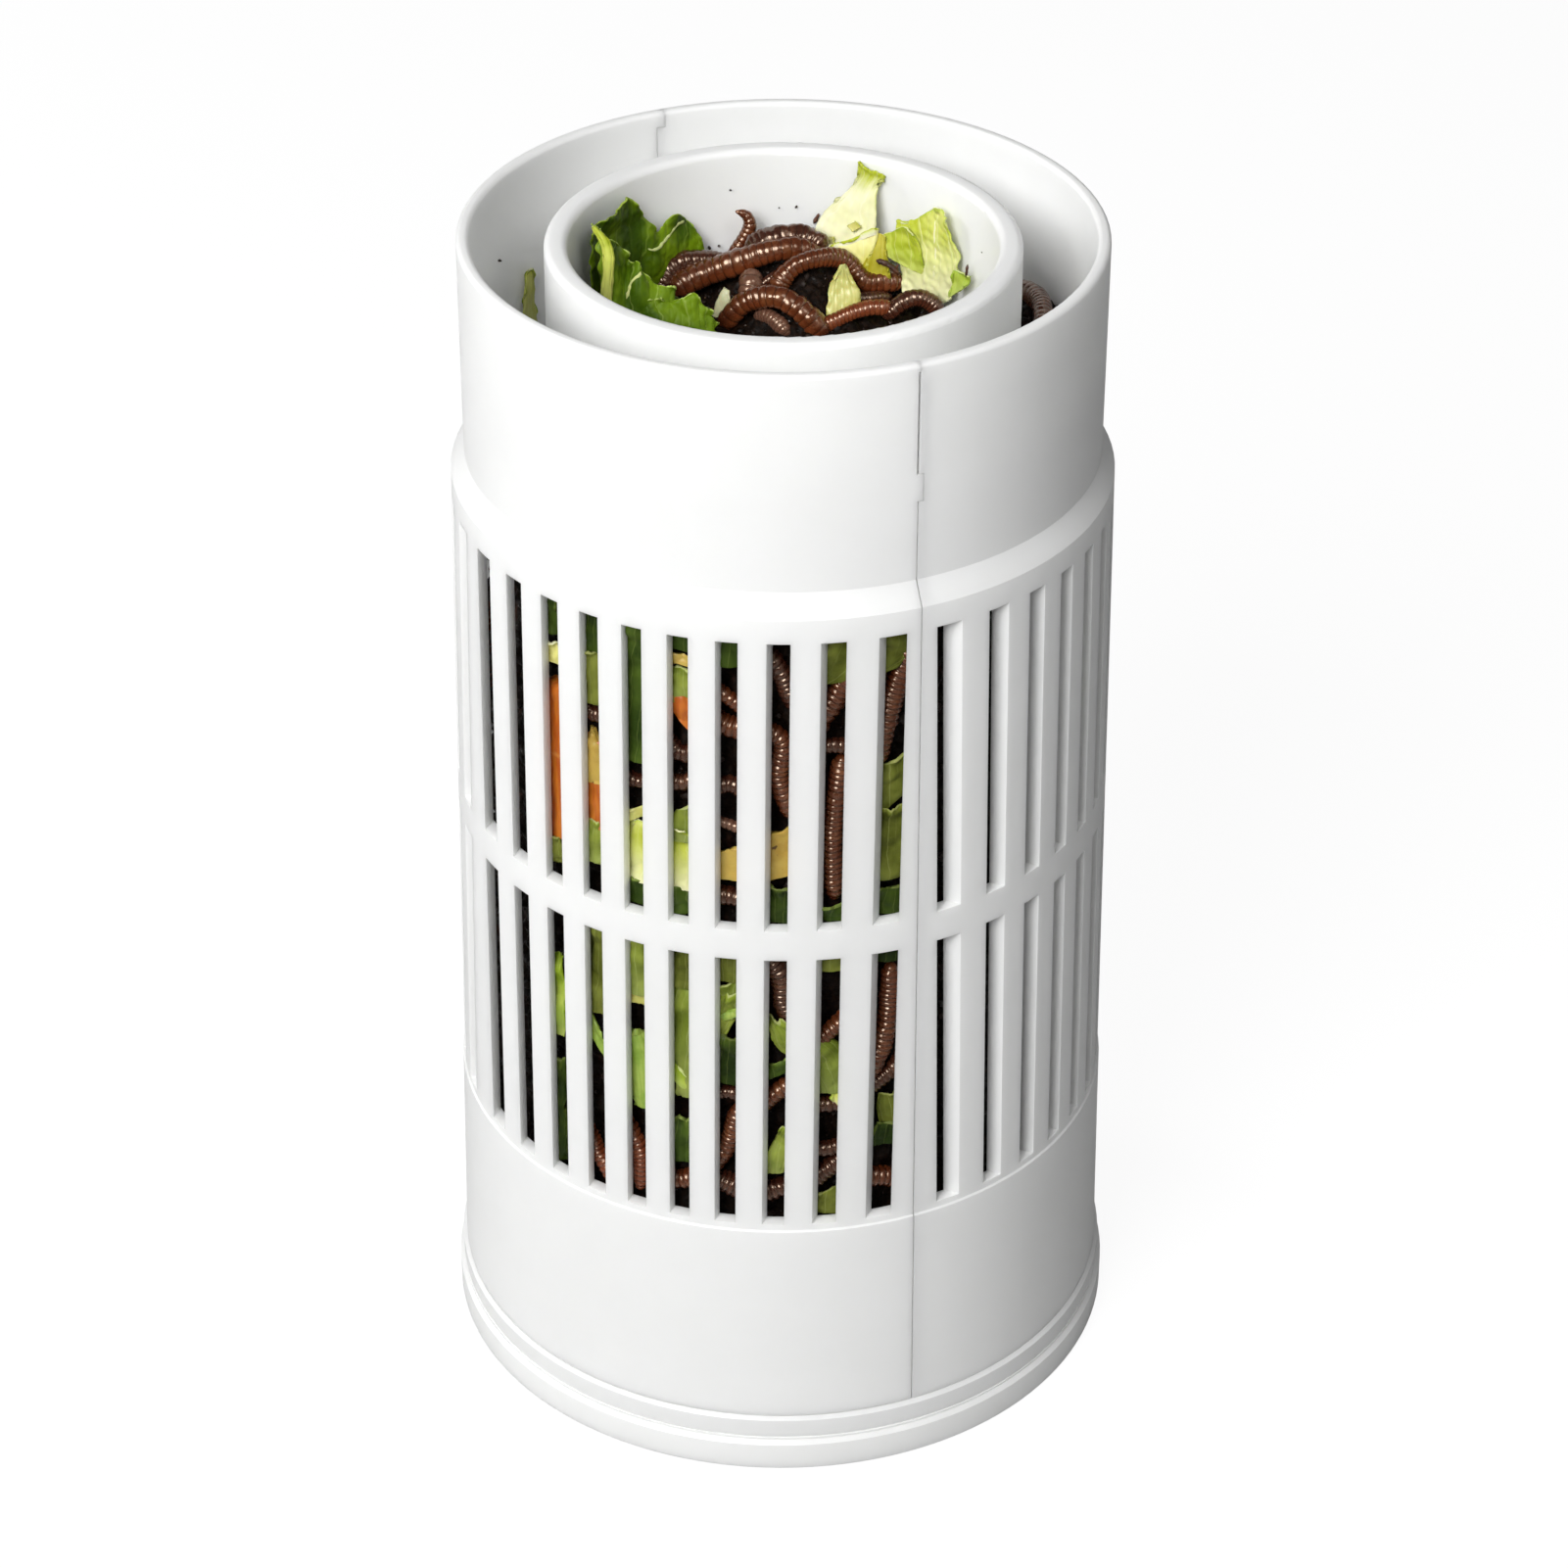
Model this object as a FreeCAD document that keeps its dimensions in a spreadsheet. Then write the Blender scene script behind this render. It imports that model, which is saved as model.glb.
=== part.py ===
import FreeCAD, Part
import math
import os
import re
import Sketcher
from FreeCAD import Placement, Rotation, Vector

# A round garden wormery that stands in or on the soil. Two half shells with slotted walls close
# round a lift-out feed tube, a stepped base ring holds them together at the foot, and a drain floor
# carries the tube. Worms, bedding and kitchen scraps fill the space behind the slots and the tube.
# The axis is Z, the foot is at Z = 0 and the front faces -Y. All lengths are in millimetres.

# Driving dimensions
SIZES = [
    ("total_height", 298.2, "foot to rim"),
    ("collar_radius", 75.0, "outside of the plain collar"),
    ("collar_wall", 3.0, "wall of the collar"),
    ("collar_height", 53.2, "plain collar, from the shoulder to the rim"),
    ("shoulder_height", 5.5, "shoulder between the slotted wall and the collar"),
    ("cage_top_reach", 3.2, "slotted wall's top proud of the collar"),
    ("cage_foot_reach", 7.3, "slotted wall's foot proud of the collar"),
    ("cage_wall", 3.6, "wall of the slotted part"),
    ("rim_round", 1.1, "round on the collar's rim"),
    ("slot_width", 5.0, "width of a slot"),
    ("slot_pitch", 11.15, "from slot to slot, across a quarter of the wall"),
    ("slot_count", 10, "slots in a quarter, in one tier"),
    ("slot_height", 76.0, "height of a slot"),
    ("top_band", 5.9, "plain wall over the upper slots"),
    ("middle_band", 8.0, "plain wall between the tiers"),
    ("band_drop", 2.1, "top of the plain lower band below the lower slots"),
    ("band_step", 0.4, "plain lower band proud of the slotted wall"),
    ("seam_angle", 23.5, "place of the seam, from the front towards +X, in degrees"),
    ("lap_width", 2.4, "reach of the lap tongue behind the seam"),
    ("lap_depth", 1.5, "thickness of the lap tongue"),
    ("lap_play", 0.15, "play round the lap tongue and the latch key"),
    ("lap_drop", 4.0, "from the rim down to the tongue's end"),
    ("seam_gap", 0.6, "open seam line above the latch key"),
    ("seam_line", 0.3, "closed seam line below the latch key"),
    ("seam_drop", 1.8, "from the rim down to the seam line"),
    ("key_drop", 27.0, "from the rim down to the latch key"),
    ("key_height", 6.6, "height of the latch key"),
    ("key_reach", 1.0, "reach of the latch key past the seam"),
    ("ring_band_reach", 0.9, "base ring's upper band proud of the slotted wall's foot"),
    ("ring_foot_reach", 1.0, "base ring's lower band proud of its upper band"),
    ("ring_height", 15.1, "height of the base ring"),
    ("ring_lower_band", 7.2, "height of the lower band"),
    ("ring_groove_base", 8.8, "height of the groove under the upper band"),
    ("ring_groove_height", 1.0, "opening of that groove"),
    ("ring_groove_depth", 0.4, "depth of that groove"),
    ("ring_chamfer", 0.85, "bevel on the ring's top edge"),
    ("ring_lip", 2.2, "wall of the ring round the shell's foot"),
    ("ring_seat", 8.0, "height of the ledge that carries the shell and the floor"),
    ("socket_play", 0.35, "play of another unit's collar in the ring's socket"),
    ("seat_play", 0.1, "play between parts that drop into each other"),
    ("shell_lift", 0.2, "gap between the ring's top and the shell's shoulder"),
    ("floor_thickness", 3.0, "drain floor"),
    ("drain_hole", 3.0, "radius of a drain hole"),
    ("drain_inner", 20.0, "circle of the inner drain holes"),
    ("drain_middle", 40.0, "circle of the middle drain holes"),
    ("drain_outer", 67.0, "circle of the outer drain holes"),
    ("inner_holes", 6, "drain holes on the inner circle"),
    ("middle_holes", 12, "drain holes on the middle circle"),
    ("outer_holes", 24, "drain holes on the outer circle"),
    ("tube_radius", 55.0, "outside of the feed tube"),
    ("tube_wall", 5.4, "wall of the feed tube"),
    ("tube_recess", 2.4, "tube's rim below the collar's rim"),
    ("tube_round", 1.6, "round on the tube's rim"),
    ("tube_play", 0.4, "play of the tube in its seat"),
    ("seat_wall", 2.4, "wall of the tube's seat"),
    ("seat_height", 6.0, "height of the tube's seat"),
    ("passage_radius", 5.0, "radius of a worm passage in the tube"),
    ("passage_base", 45.0, "height of the lowest row of passages"),
    ("passage_pitch", 32.0, "from row to row of passages"),
    ("passage_rows", 4, "rows of passages"),
    ("passages_in_row", 12, "passages in a row, round the tube"),
    ("grid_thickness", 2.5, "grid that closes the tube's foot"),
    ("grid_spigot", 8.0, "height of the grid's spigot in the tube"),
    ("grid_wall", 2.5, "wall of that spigot"),
    ("grid_hole", 3.0, "radius of a hole in the grid, over each drain hole"),
    ("bedding_drop", 2.5, "where the bedding turns in, below the shoulder"),
    ("gap_depth", 44.5, "from the collar's rim down to the bedding in the gap, at the middle"),
    ("gap_tilt", 13.0, "slope of that bedding up to the right, in degrees"),
    ("bedding_play", 0.7, "bedding clear of the feed tube"),
    ("bedding_set_back", 6.1, "bedding's side behind the slotted wall"),
    ("feed_depth", 36.5, "from the tube's rim down to the bedding in it, at the middle"),
    ("feed_tilt", 8.5, "slope of that bedding, in degrees"),
    ("heap_height", 7.0, "heap against the tube's back wall"),
    ("heap_radius", 30.0, "foot of that heap"),
    ("heap_crown", 9.0, "crown of that heap"),
    ("heap_right", 0.08, "middle of that heap to the right of the axis, as a share of the tube's bore"),
    ("heap_back", 0.8, "middle of that heap behind the axis, as a share of the tube's bore"),
    ("heap_sink", 6.0, "foot of that heap below the bedding's level"),
    ("worm_radius", 2.4, "thickest part of a worm"),
    ("worm_tip", 1.0, "end of a worm"),
    ("worm_taper", 7.0, "length of a worm's tapered end"),
    ("leaf_thickness", 1.0, "a lettuce leaf with its ribs"),
    ("stick_width", 7.0, "carrot stick"),
    ("stick_depth", 4.6, "carrot stick, along the radius"),
    ("rest_gap", 0.3, "gap between pieces that lie on each other"),
    ("overcut", 1.0, "reach of a cut past the wall that it cuts"),
]

doc = FreeCAD.newDocument("wormery")
sheet = doc.addObject("Spreadsheet::Sheet", "dims")
for row, (alias, size, note) in enumerate(SIZES, start=1):
    sheet.set("A%d" % row, alias)
    sheet.set("B%d" % row, str(size))
    sheet.set("C%d" % row, note)
    sheet.setAlias("B%d" % row, alias)
doc.recompute()
ALIASES = {alias for alias, size, note in SIZES}
SUB_PARTS = []


def bound(text):
    """An expression with each size's name pointing at its cell of the sheet."""
    def point_at_cell(match):
        word = match.group(0)
        return "dims." + word if word in ALIASES else word
    return re.sub(r"[a-z_]+", point_at_cell, text)


def value(text):
    """The number that an expression gives now."""
    result = sheet.evalExpression(bound(text))
    return float(getattr(result, "Value", result))


def bind(item, prop, text):
    item.setExpression(prop, bound(text))


def keep(item, label):
    """Registers a finished sub-part under the name of its file."""
    item.Label = label
    SUB_PARTS.append(item)
    return item


# Heights and radii that several sub-parts share
COLLAR_BASE = "(total_height - collar_height)"
CAGE_TOP = "(total_height - collar_height - shoulder_height)"
SHELL_BASE = "(ring_height + shell_lift)"
CAGE_TOP_RADIUS = "(collar_radius + cage_top_reach)"
CAGE_FOOT_RADIUS = "(collar_radius + cage_foot_reach)"
RING_BAND = "(collar_radius + cage_foot_reach + ring_band_reach)"
RING_FOOT = "(collar_radius + cage_foot_reach + ring_band_reach + ring_foot_reach)"
FOOT_RADIUS = "(%s - ring_lip - seat_play)" % RING_BAND
FOOT_BORE = "(collar_radius + cage_foot_reach - cage_wall)"
CAGE_TOP_BORE = "(collar_radius + cage_top_reach - cage_wall)"
COLLAR_BORE = "(collar_radius - collar_wall)"
UPPER_SLOTS = "(%s - top_band - slot_height)" % CAGE_TOP
LOWER_SLOTS = "(%s - top_band - middle_band - 2 * slot_height)" % CAGE_TOP
BAND_TOP = "(%s - band_drop)" % LOWER_SLOTS
BAND_RADIUS = ("(collar_radius + cage_foot_reach"
               " - (cage_foot_reach - cage_top_reach) * (%s - %s) / (%s - %s))"
               % (BAND_TOP, SHELL_BASE, CAGE_TOP, SHELL_BASE))
FLOOR_TOP = "(ring_seat + floor_thickness)"
TUBE_FOOT = "(ring_seat + floor_thickness + grid_thickness)"
TUBE_TOP = "(total_height - tube_recess)"
TUBE_BORE = "(tube_radius - tube_wall)"
SEAT_OUTER = "(tube_radius + tube_play + seat_wall)"
BEDDING_NECK = "(%s - bedding_drop)" % CAGE_TOP
GAP_LEVEL = "(total_height - gap_depth)"
FEED_LEVEL = "(total_height - tube_recess - feed_depth)"
HEAP_BASE = "(%s - heap_sink + heap_back * %s * tan(feed_tilt))" % (FEED_LEVEL, TUBE_BORE)
HEAP_HEIGHT = "(heap_height + heap_sink)"


def plane_of(body, role):
    return next(item for item in body.Origin.OriginFeatures if item.Role == role)


def new_sketch(body, name, role="XZ_Plane", turn=0):
    """A sketch on one of the body's planes. On XZ its x is the radius and its y is the height, and
    turn swings it about the vertical axis, in degrees."""
    sketch = body.newObject("Sketcher::SketchObject", name)
    sketch.AttachmentSupport = [(plane_of(body, role), "")]
    sketch.MapMode = "FlatFace"
    sketch.AttachmentOffset = Placement(Vector(), Rotation(Vector(0, 1, 0), turn))
    return sketch


def fix_point(sketch, geometry, point, across, up):
    """Ties one point of the sketch to its two expressions. The expression 0 puts it on the axis."""
    for kind, text, axis in (("DistanceX", across, -2), ("DistanceY", up, -1)):
        if text == "0":
            sketch.addConstraint(Sketcher.Constraint("PointOnObject", geometry, point, axis))
        else:
            index = sketch.addConstraint(
                Sketcher.Constraint(kind, -1, 1, geometry, point, value(text)))
            name = "%s_%d" % (kind, index)
            sketch.renameConstraint(index, name)
            bind(sketch, "Constraints." + name, text)


def add_outline(sketch, points):
    """A closed outline through points, each a pair of expressions."""
    first = sketch.GeometryCount
    corners = [Vector(value(across), value(up), 0) for across, up in points]
    count = len(corners)
    for index in range(count):
        sketch.addGeometry(Part.LineSegment(corners[index], corners[(index + 1) % count]), False)
    for index in range(count):
        following = first + (index + 1) % count
        sketch.addConstraint(Sketcher.Constraint("Coincident", first + index, 2, following, 1))
    for index, (across, up) in enumerate(points):
        fix_point(sketch, first + index, 1, across, up)


def add_box_outline(sketch, left, right, low, high):
    add_outline(sketch, [(left, low), (right, low), (right, high), (left, high)])


def add_circle(sketch, across, up, radius):
    geometry = sketch.GeometryCount
    centre = Vector(value(across), value(up), 0)
    sketch.addGeometry(Part.Circle(centre, Vector(0, 0, 1), value(radius)), False)
    fix_point(sketch, geometry, 3, across, up)
    index = sketch.addConstraint(Sketcher.Constraint("Radius", geometry, value(radius)))
    sketch.renameConstraint(index, "radius_%d" % index)
    bind(sketch, "Constraints.radius_%d" % index, radius)


def revolve(body, name, sketch, angle="360", reverse=False, cut=False):
    """Turns a sketch about the vertical axis, as added or as removed material."""
    kind = "PartDesign::Groove" if cut else "PartDesign::Revolution"
    feature = body.newObject(kind, name)
    feature.Profile = sketch
    feature.ReferenceAxis = (sketch, ["V_Axis"])
    feature.Angle = value(angle)
    bind(feature, "Angle", angle)
    feature.Reversed = reverse
    sketch.Visibility = False
    doc.recompute()
    return feature


def cut_through(body, name, sketch, reverse=False, both_ways=False):
    """Cuts a sketch through the whole body on one side of its plane, or on both."""
    before = body.Shape.Volume
    feature = body.newObject("PartDesign::Pocket", name)
    feature.Profile = sketch
    feature.Type = 1
    feature.Reversed = reverse
    feature.Midplane = both_ways
    sketch.Visibility = False
    doc.recompute()
    if not feature.Shape.Volume < before:
        raise RuntimeError("%s cuts nothing" % name)
    return feature


def round_edges(body, name, circles, radius):
    """Rounds the circular edges that lie at the given radii and heights."""
    base = body.Tip
    edges = []
    for index, edge in enumerate(base.Shape.Edges, start=1):
        curve = edge.Curve
        if not isinstance(curve, Part.Circle):
            continue
        for across, up in circles:
            if abs(curve.Radius - value(across)) < 1e-4 and abs(curve.Center.z - value(up)) < 1e-4:
                edges.append("Edge%d" % index)
    feature = body.newObject("PartDesign::Fillet", name)
    feature.Base = (base, edges)
    feature.Radius = value(radius)
    bind(feature, "Radius", radius)
    doc.recompute()
    return feature


# Half shells
def half_shell(label, turn):
    """Half of the shell, from seam to seam, with its slots, a lap tongue and a latch key on one edge
    and their rebates on the other. Both halves are the same moulding, turned half a turn. In its own
    frame the half lies on the -Y side and its seams lie on the X axis."""
    body = doc.addObject("PartDesign::Body", label)
    degrees = " * 180 / pi"
    outside = [(FOOT_RADIUS, "ring_seat"), (FOOT_RADIUS, SHELL_BASE), (CAGE_FOOT_RADIUS, SHELL_BASE),
               (BAND_RADIUS, BAND_TOP), (BAND_RADIUS + " - band_step", BAND_TOP + " + band_step"),
               (CAGE_TOP_RADIUS, CAGE_TOP), ("collar_radius", COLLAR_BASE),
               ("collar_radius", "total_height")]
    inside = [(COLLAR_BORE, "total_height"), (COLLAR_BORE, COLLAR_BASE),
              (CAGE_TOP_BORE, CAGE_TOP), (FOOT_BORE, SHELL_BASE), (FOOT_BORE, "ring_seat")]
    wall = new_sketch(body, "wall_" + label)
    add_outline(wall, outside + inside)
    revolve(body, "wall_turn_" + label, wall, "180", reverse=True)
    round_edges(body, "rim_" + label,
                [("collar_radius", "total_height"), (COLLAR_BORE, "total_height")],
                "min(rim_round; collar_wall * 0.4)")

    # The tongue continues the inner part of the wall past the seam
    tongue_top = "(total_height - lap_drop)"
    tongue = new_sketch(body, "tongue_" + label)
    add_outline(tongue, [
        (FOOT_BORE, SHELL_BASE), (FOOT_BORE + " + lap_depth", SHELL_BASE),
        (CAGE_TOP_BORE + " + lap_depth", CAGE_TOP), (COLLAR_BORE + " + lap_depth", COLLAR_BASE),
        (COLLAR_BORE + " + lap_depth", tongue_top), (COLLAR_BORE, tongue_top),
        (COLLAR_BORE, COLLAR_BASE), (CAGE_TOP_BORE, CAGE_TOP)])
    revolve(body, "tongue_turn_" + label, tongue, "lap_width / " + CAGE_FOOT_RADIUS + degrees)

    # The rebate takes the other half's tongue, with play on every side of it
    rebate = new_sketch(body, "rebate_" + label, turn=180)
    play = "lap_depth + lap_play"
    rebate_top = tongue_top + " + lap_play"
    rebate_foot = SHELL_BASE + " - lap_play"
    add_outline(rebate, [
        (FOOT_BORE + " - overcut", rebate_foot), (FOOT_BORE + " + " + play, rebate_foot),
        (FOOT_BORE + " + " + play, SHELL_BASE), (CAGE_TOP_BORE + " + " + play, CAGE_TOP),
        (COLLAR_BORE + " + " + play, COLLAR_BASE), (COLLAR_BORE + " + " + play, rebate_top),
        (COLLAR_BORE + " - overcut", rebate_top), (COLLAR_BORE + " - overcut", COLLAR_BASE),
        (CAGE_TOP_BORE + " - overcut", CAGE_TOP), (FOOT_BORE + " - overcut", SHELL_BASE)])
    revolve(body, "rebate_turn_" + label, rebate,
            "(lap_width / " + CAGE_FOOT_RADIUS + " + lap_play / collar_radius)" + degrees, cut=True)

    # Seam lines in the outer part of the wall, open above the latch key and closed below it
    key_top = "(total_height - key_drop)"
    key_base = "(total_height - key_drop - key_height)"
    gap = new_sketch(body, "gap_" + label)
    add_box_outline(gap, COLLAR_BORE + " + lap_depth", "collar_radius + overcut",
                    key_top, "total_height - seam_drop")
    revolve(body, "gap_turn_" + label, gap, "seam_gap / collar_radius" + degrees, reverse=True, cut=True)
    line = new_sketch(body, "line_" + label)
    add_outline(line, [
        (FOOT_BORE + " + lap_depth", SHELL_BASE), (CAGE_FOOT_RADIUS + " + overcut", SHELL_BASE),
        (CAGE_TOP_RADIUS + " + overcut", CAGE_TOP), ("collar_radius + overcut", COLLAR_BASE),
        ("collar_radius + overcut", key_base), (COLLAR_BORE + " + lap_depth", key_base),
        (COLLAR_BORE + " + lap_depth", COLLAR_BASE), (CAGE_TOP_BORE + " + lap_depth", CAGE_TOP)])
    revolve(body, "line_turn_" + label, line, "seam_line / collar_radius" + degrees, reverse=True, cut=True)

    # Latch key on this edge, and the notch for the other half's key on the far edge
    key = new_sketch(body, "key_" + label)
    add_box_outline(key, COLLAR_BORE + " + lap_depth / 2", "collar_radius", key_base, key_top)
    revolve(body, "key_turn_" + label, key, "key_reach / collar_radius" + degrees)
    notch = new_sketch(body, "notch_" + label, turn=180)
    add_box_outline(notch, COLLAR_BORE + " - overcut", "collar_radius + overcut",
                    key_base + " - lap_play", key_top + " + lap_play")
    revolve(body, "notch_turn_" + label, notch, "(key_reach + lap_play) / collar_radius" + degrees, cut=True)

    # Slots: the side walls of each quarter's slots are parallel to the middle of that quarter
    for side, quarter in (("right", 45), ("left", -45)):
        slots = new_sketch(body, "slots_%s_%s" % (side, label), turn=quarter)
        edge_left = "(slot_count - 1) / 2 * slot_pitch - slot_width / 2"
        edge_right = "(slot_count - 1) / 2 * slot_pitch + slot_width / 2"
        for base in (UPPER_SLOTS, LOWER_SLOTS):
            add_box_outline(slots, edge_left, edge_right, base, base + " + slot_height")
        first = cut_through(body, "first_slot_%s_%s" % (side, label), slots, reverse=True)
        row = body.newObject("PartDesign::LinearPattern", "slot_row_%s_%s" % (side, label))
        row.Originals = [first]
        row.Direction = (slots, ["H_Axis"])
        row.Reversed = True
        row.Occurrences = int(value("slot_count"))
        bind(row, "Occurrences", "slot_count")
        row.Length = value("(slot_count - 1) * slot_pitch")
        bind(row, "Length", "(slot_count - 1) * slot_pitch")
        body.Tip = row
        doc.recompute()
        if not row.Shape.Volume < first.Shape.Volume:
            raise RuntimeError("the slots of %s are missing" % label)
    body.Placement = Placement(Vector(), Rotation(Vector(0, 0, 1), turn))
    return keep(body, label)


SEAM_TURN = value("seam_angle") - 90
half_shell("shell_front_half", SEAM_TURN)
half_shell("shell_rear_half", SEAM_TURN + 180)


# Base ring with its two bands, and under it the socket that takes another unit's collar
def base_ring():
    body = doc.addObject("PartDesign::Body", "base_ring")
    profile = new_sketch(body, "ring_profile")
    socket = "collar_radius + socket_play"
    bore = RING_BAND + " - ring_lip"
    groove_top = "ring_groove_base + ring_groove_height"
    add_outline(profile, [
        (socket, "0"), (RING_FOOT, "0"), (RING_FOOT, "ring_lower_band"),
        (RING_BAND, "ring_lower_band + ring_foot_reach"), (RING_BAND, "ring_groove_base"),
        (RING_BAND + " - ring_groove_depth", "ring_groove_base"),
        (RING_BAND + " - ring_groove_depth", groove_top), (RING_BAND, groove_top),
        (RING_BAND, "ring_height - ring_chamfer"), (RING_BAND + " - ring_chamfer", "ring_height"),
        (bore, "ring_height"), (bore, "ring_seat"), (socket, "ring_seat")])
    revolve(body, "ring_turn", profile)
    return keep(body, "base_ring")


def hole_circle(body, name, circle, radius, count):
    """A circle of equal holes through a flat part, the first on the X axis."""
    sketch = new_sketch(body, name, "XY_Plane")
    add_circle(sketch, circle, "0", radius)
    first = cut_through(body, name + "_hole", sketch, both_ways=True)
    pattern = body.newObject("PartDesign::PolarPattern", name + "_pattern")
    pattern.Originals = [first]
    pattern.Axis = (sketch, ["N_Axis"])
    pattern.Angle = 360
    pattern.Occurrences = int(value(count))
    bind(pattern, "Occurrences", count)
    body.Tip = pattern
    doc.recompute()
    if not pattern.Shape.Volume < first.Shape.Volume:
        raise RuntimeError("the holes of %s are missing" % name)
    return pattern


# Drain floor with the raised seat of the feed tube
def drain_floor():
    body = doc.addObject("PartDesign::Body", "drain_floor")
    profile = new_sketch(body, "floor_profile")
    edge = FOOT_BORE + " - seat_play"
    bore = "tube_radius + tube_play"
    seat_top = FLOOR_TOP + " + seat_height"
    add_outline(profile, [
        ("0", "ring_seat"), (edge, "ring_seat"), (edge, FLOOR_TOP), (SEAT_OUTER, FLOOR_TOP),
        (SEAT_OUTER, seat_top), (bore, seat_top), (bore, FLOOR_TOP), ("0", FLOOR_TOP)])
    revolve(body, "floor_turn", profile)
    for name in ("inner", "middle", "outer"):
        hole_circle(body, name + "_drain", "drain_" + name, "drain_hole", name + "_holes")
    return keep(body, "drain_floor")


# Grid that closes the foot of the feed tube
def tube_grid():
    body = doc.addObject("PartDesign::Body", "tube_grid")
    profile = new_sketch(body, "grid_profile")
    spigot = TUBE_BORE + " - seat_play"
    spigot_top = TUBE_FOOT + " + grid_spigot"
    add_outline(profile, [
        ("0", FLOOR_TOP), ("tube_radius", FLOOR_TOP), ("tube_radius", TUBE_FOOT), (spigot, TUBE_FOOT),
        (spigot, spigot_top), (spigot + " - grid_wall", spigot_top),
        (spigot + " - grid_wall", TUBE_FOOT), ("0", TUBE_FOOT)])
    revolve(body, "grid_turn", profile)
    for name in ("inner", "middle"):
        hole_circle(body, name + "_grid", "drain_" + name, "grid_hole", name + "_holes")
    return keep(body, "tube_grid")


# Feed tube with rows of worm passages in its lower part
def feed_tube():
    body = doc.addObject("PartDesign::Body", "feed_tube")
    profile = new_sketch(body, "tube_profile")
    add_box_outline(profile, TUBE_BORE, "tube_radius", TUBE_FOOT, TUBE_TOP)
    revolve(body, "tube_turn", profile)
    round_edges(body, "tube_rim", [("tube_radius", TUBE_TOP), (TUBE_BORE, TUBE_TOP)],
                "min(tube_round; tube_wall * 0.4)")
    rows = new_sketch(body, "passage_rows")
    for index in range(int(value("passage_rows"))):
        add_circle(rows, "0", "passage_base + %d * passage_pitch" % index, "passage_radius")
    first = cut_through(body, "passage_pair", rows, both_ways=True)
    pattern = body.newObject("PartDesign::PolarPattern", "passage_pattern")
    pattern.Originals = [first]
    pattern.Axis = (rows, ["V_Axis"])
    pattern.Angle = value("180 - 360 / passages_in_row")
    bind(pattern, "Angle", "180 - 360 / passages_in_row")
    pattern.Occurrences = int(value("passages_in_row / 2"))
    bind(pattern, "Occurrences", "passages_in_row / 2")
    body.Tip = pattern
    doc.recompute()
    if not pattern.Shape.Volume < first.Shape.Volume:
        raise RuntimeError("the worm passages are missing")
    return keep(body, "feed_tube")


base_ring()
drain_floor()
tube_grid()
feed_tube()


# Bedding between the slotted wall and the feed tube, set back so that what lies behind the slots fits
def ring_bedding():
    """The bedding follows the shell's inside into the collar and slopes up to the right there."""
    body = doc.addObject("PartDesign::Body", "bedding_round")
    profile = new_sketch(body, "bedding_profile")
    foot = SEAT_OUTER + " + rest_gap"
    inner = "tube_radius + bedding_play"
    step = FLOOR_TOP + " + seat_height + rest_gap"
    add_outline(profile, [
        (foot, FLOOR_TOP), (FOOT_BORE + " - bedding_set_back", FLOOR_TOP),
        (CAGE_TOP_BORE + " - bedding_set_back", BEDDING_NECK),
        (COLLAR_BORE + " - rest_gap", COLLAR_BASE), (COLLAR_BORE + " - rest_gap", TUBE_TOP),
        (inner, TUBE_TOP), (inner, step), (foot, step)])
    revolve(body, "bedding_turn", profile)
    air = air_above("air_over_gap", Vector(0, 1, 0), -value("gap_tilt"), value(GAP_LEVEL))
    fill = doc.addObject("Part::Cut", "ring_bedding")
    fill.Base = body
    fill.Tool = air
    doc.recompute()
    return keep(fill, "ring_bedding")


def primitive(kind, name, **sizes):
    """A Part primitive whose sizes are expressions."""
    item = doc.addObject(kind, name)
    for prop, text in sizes.items():
        bind(item, prop, text)
    return item


def air_above(name, axis, tilt, level):
    """The space over a sloping top, which is turned about an axis at a height, in degrees."""
    air = primitive("Part::Box", name, Length="4 * tube_radius", Width="4 * tube_radius",
                    Height="2 * tube_radius")
    turn = Rotation(axis, tilt)
    corner = turn.multVec(Vector(-2, -2, 0) * value("tube_radius"))
    air.Placement = Placement(corner + Vector(0, 0, level), turn)
    return air


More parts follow.
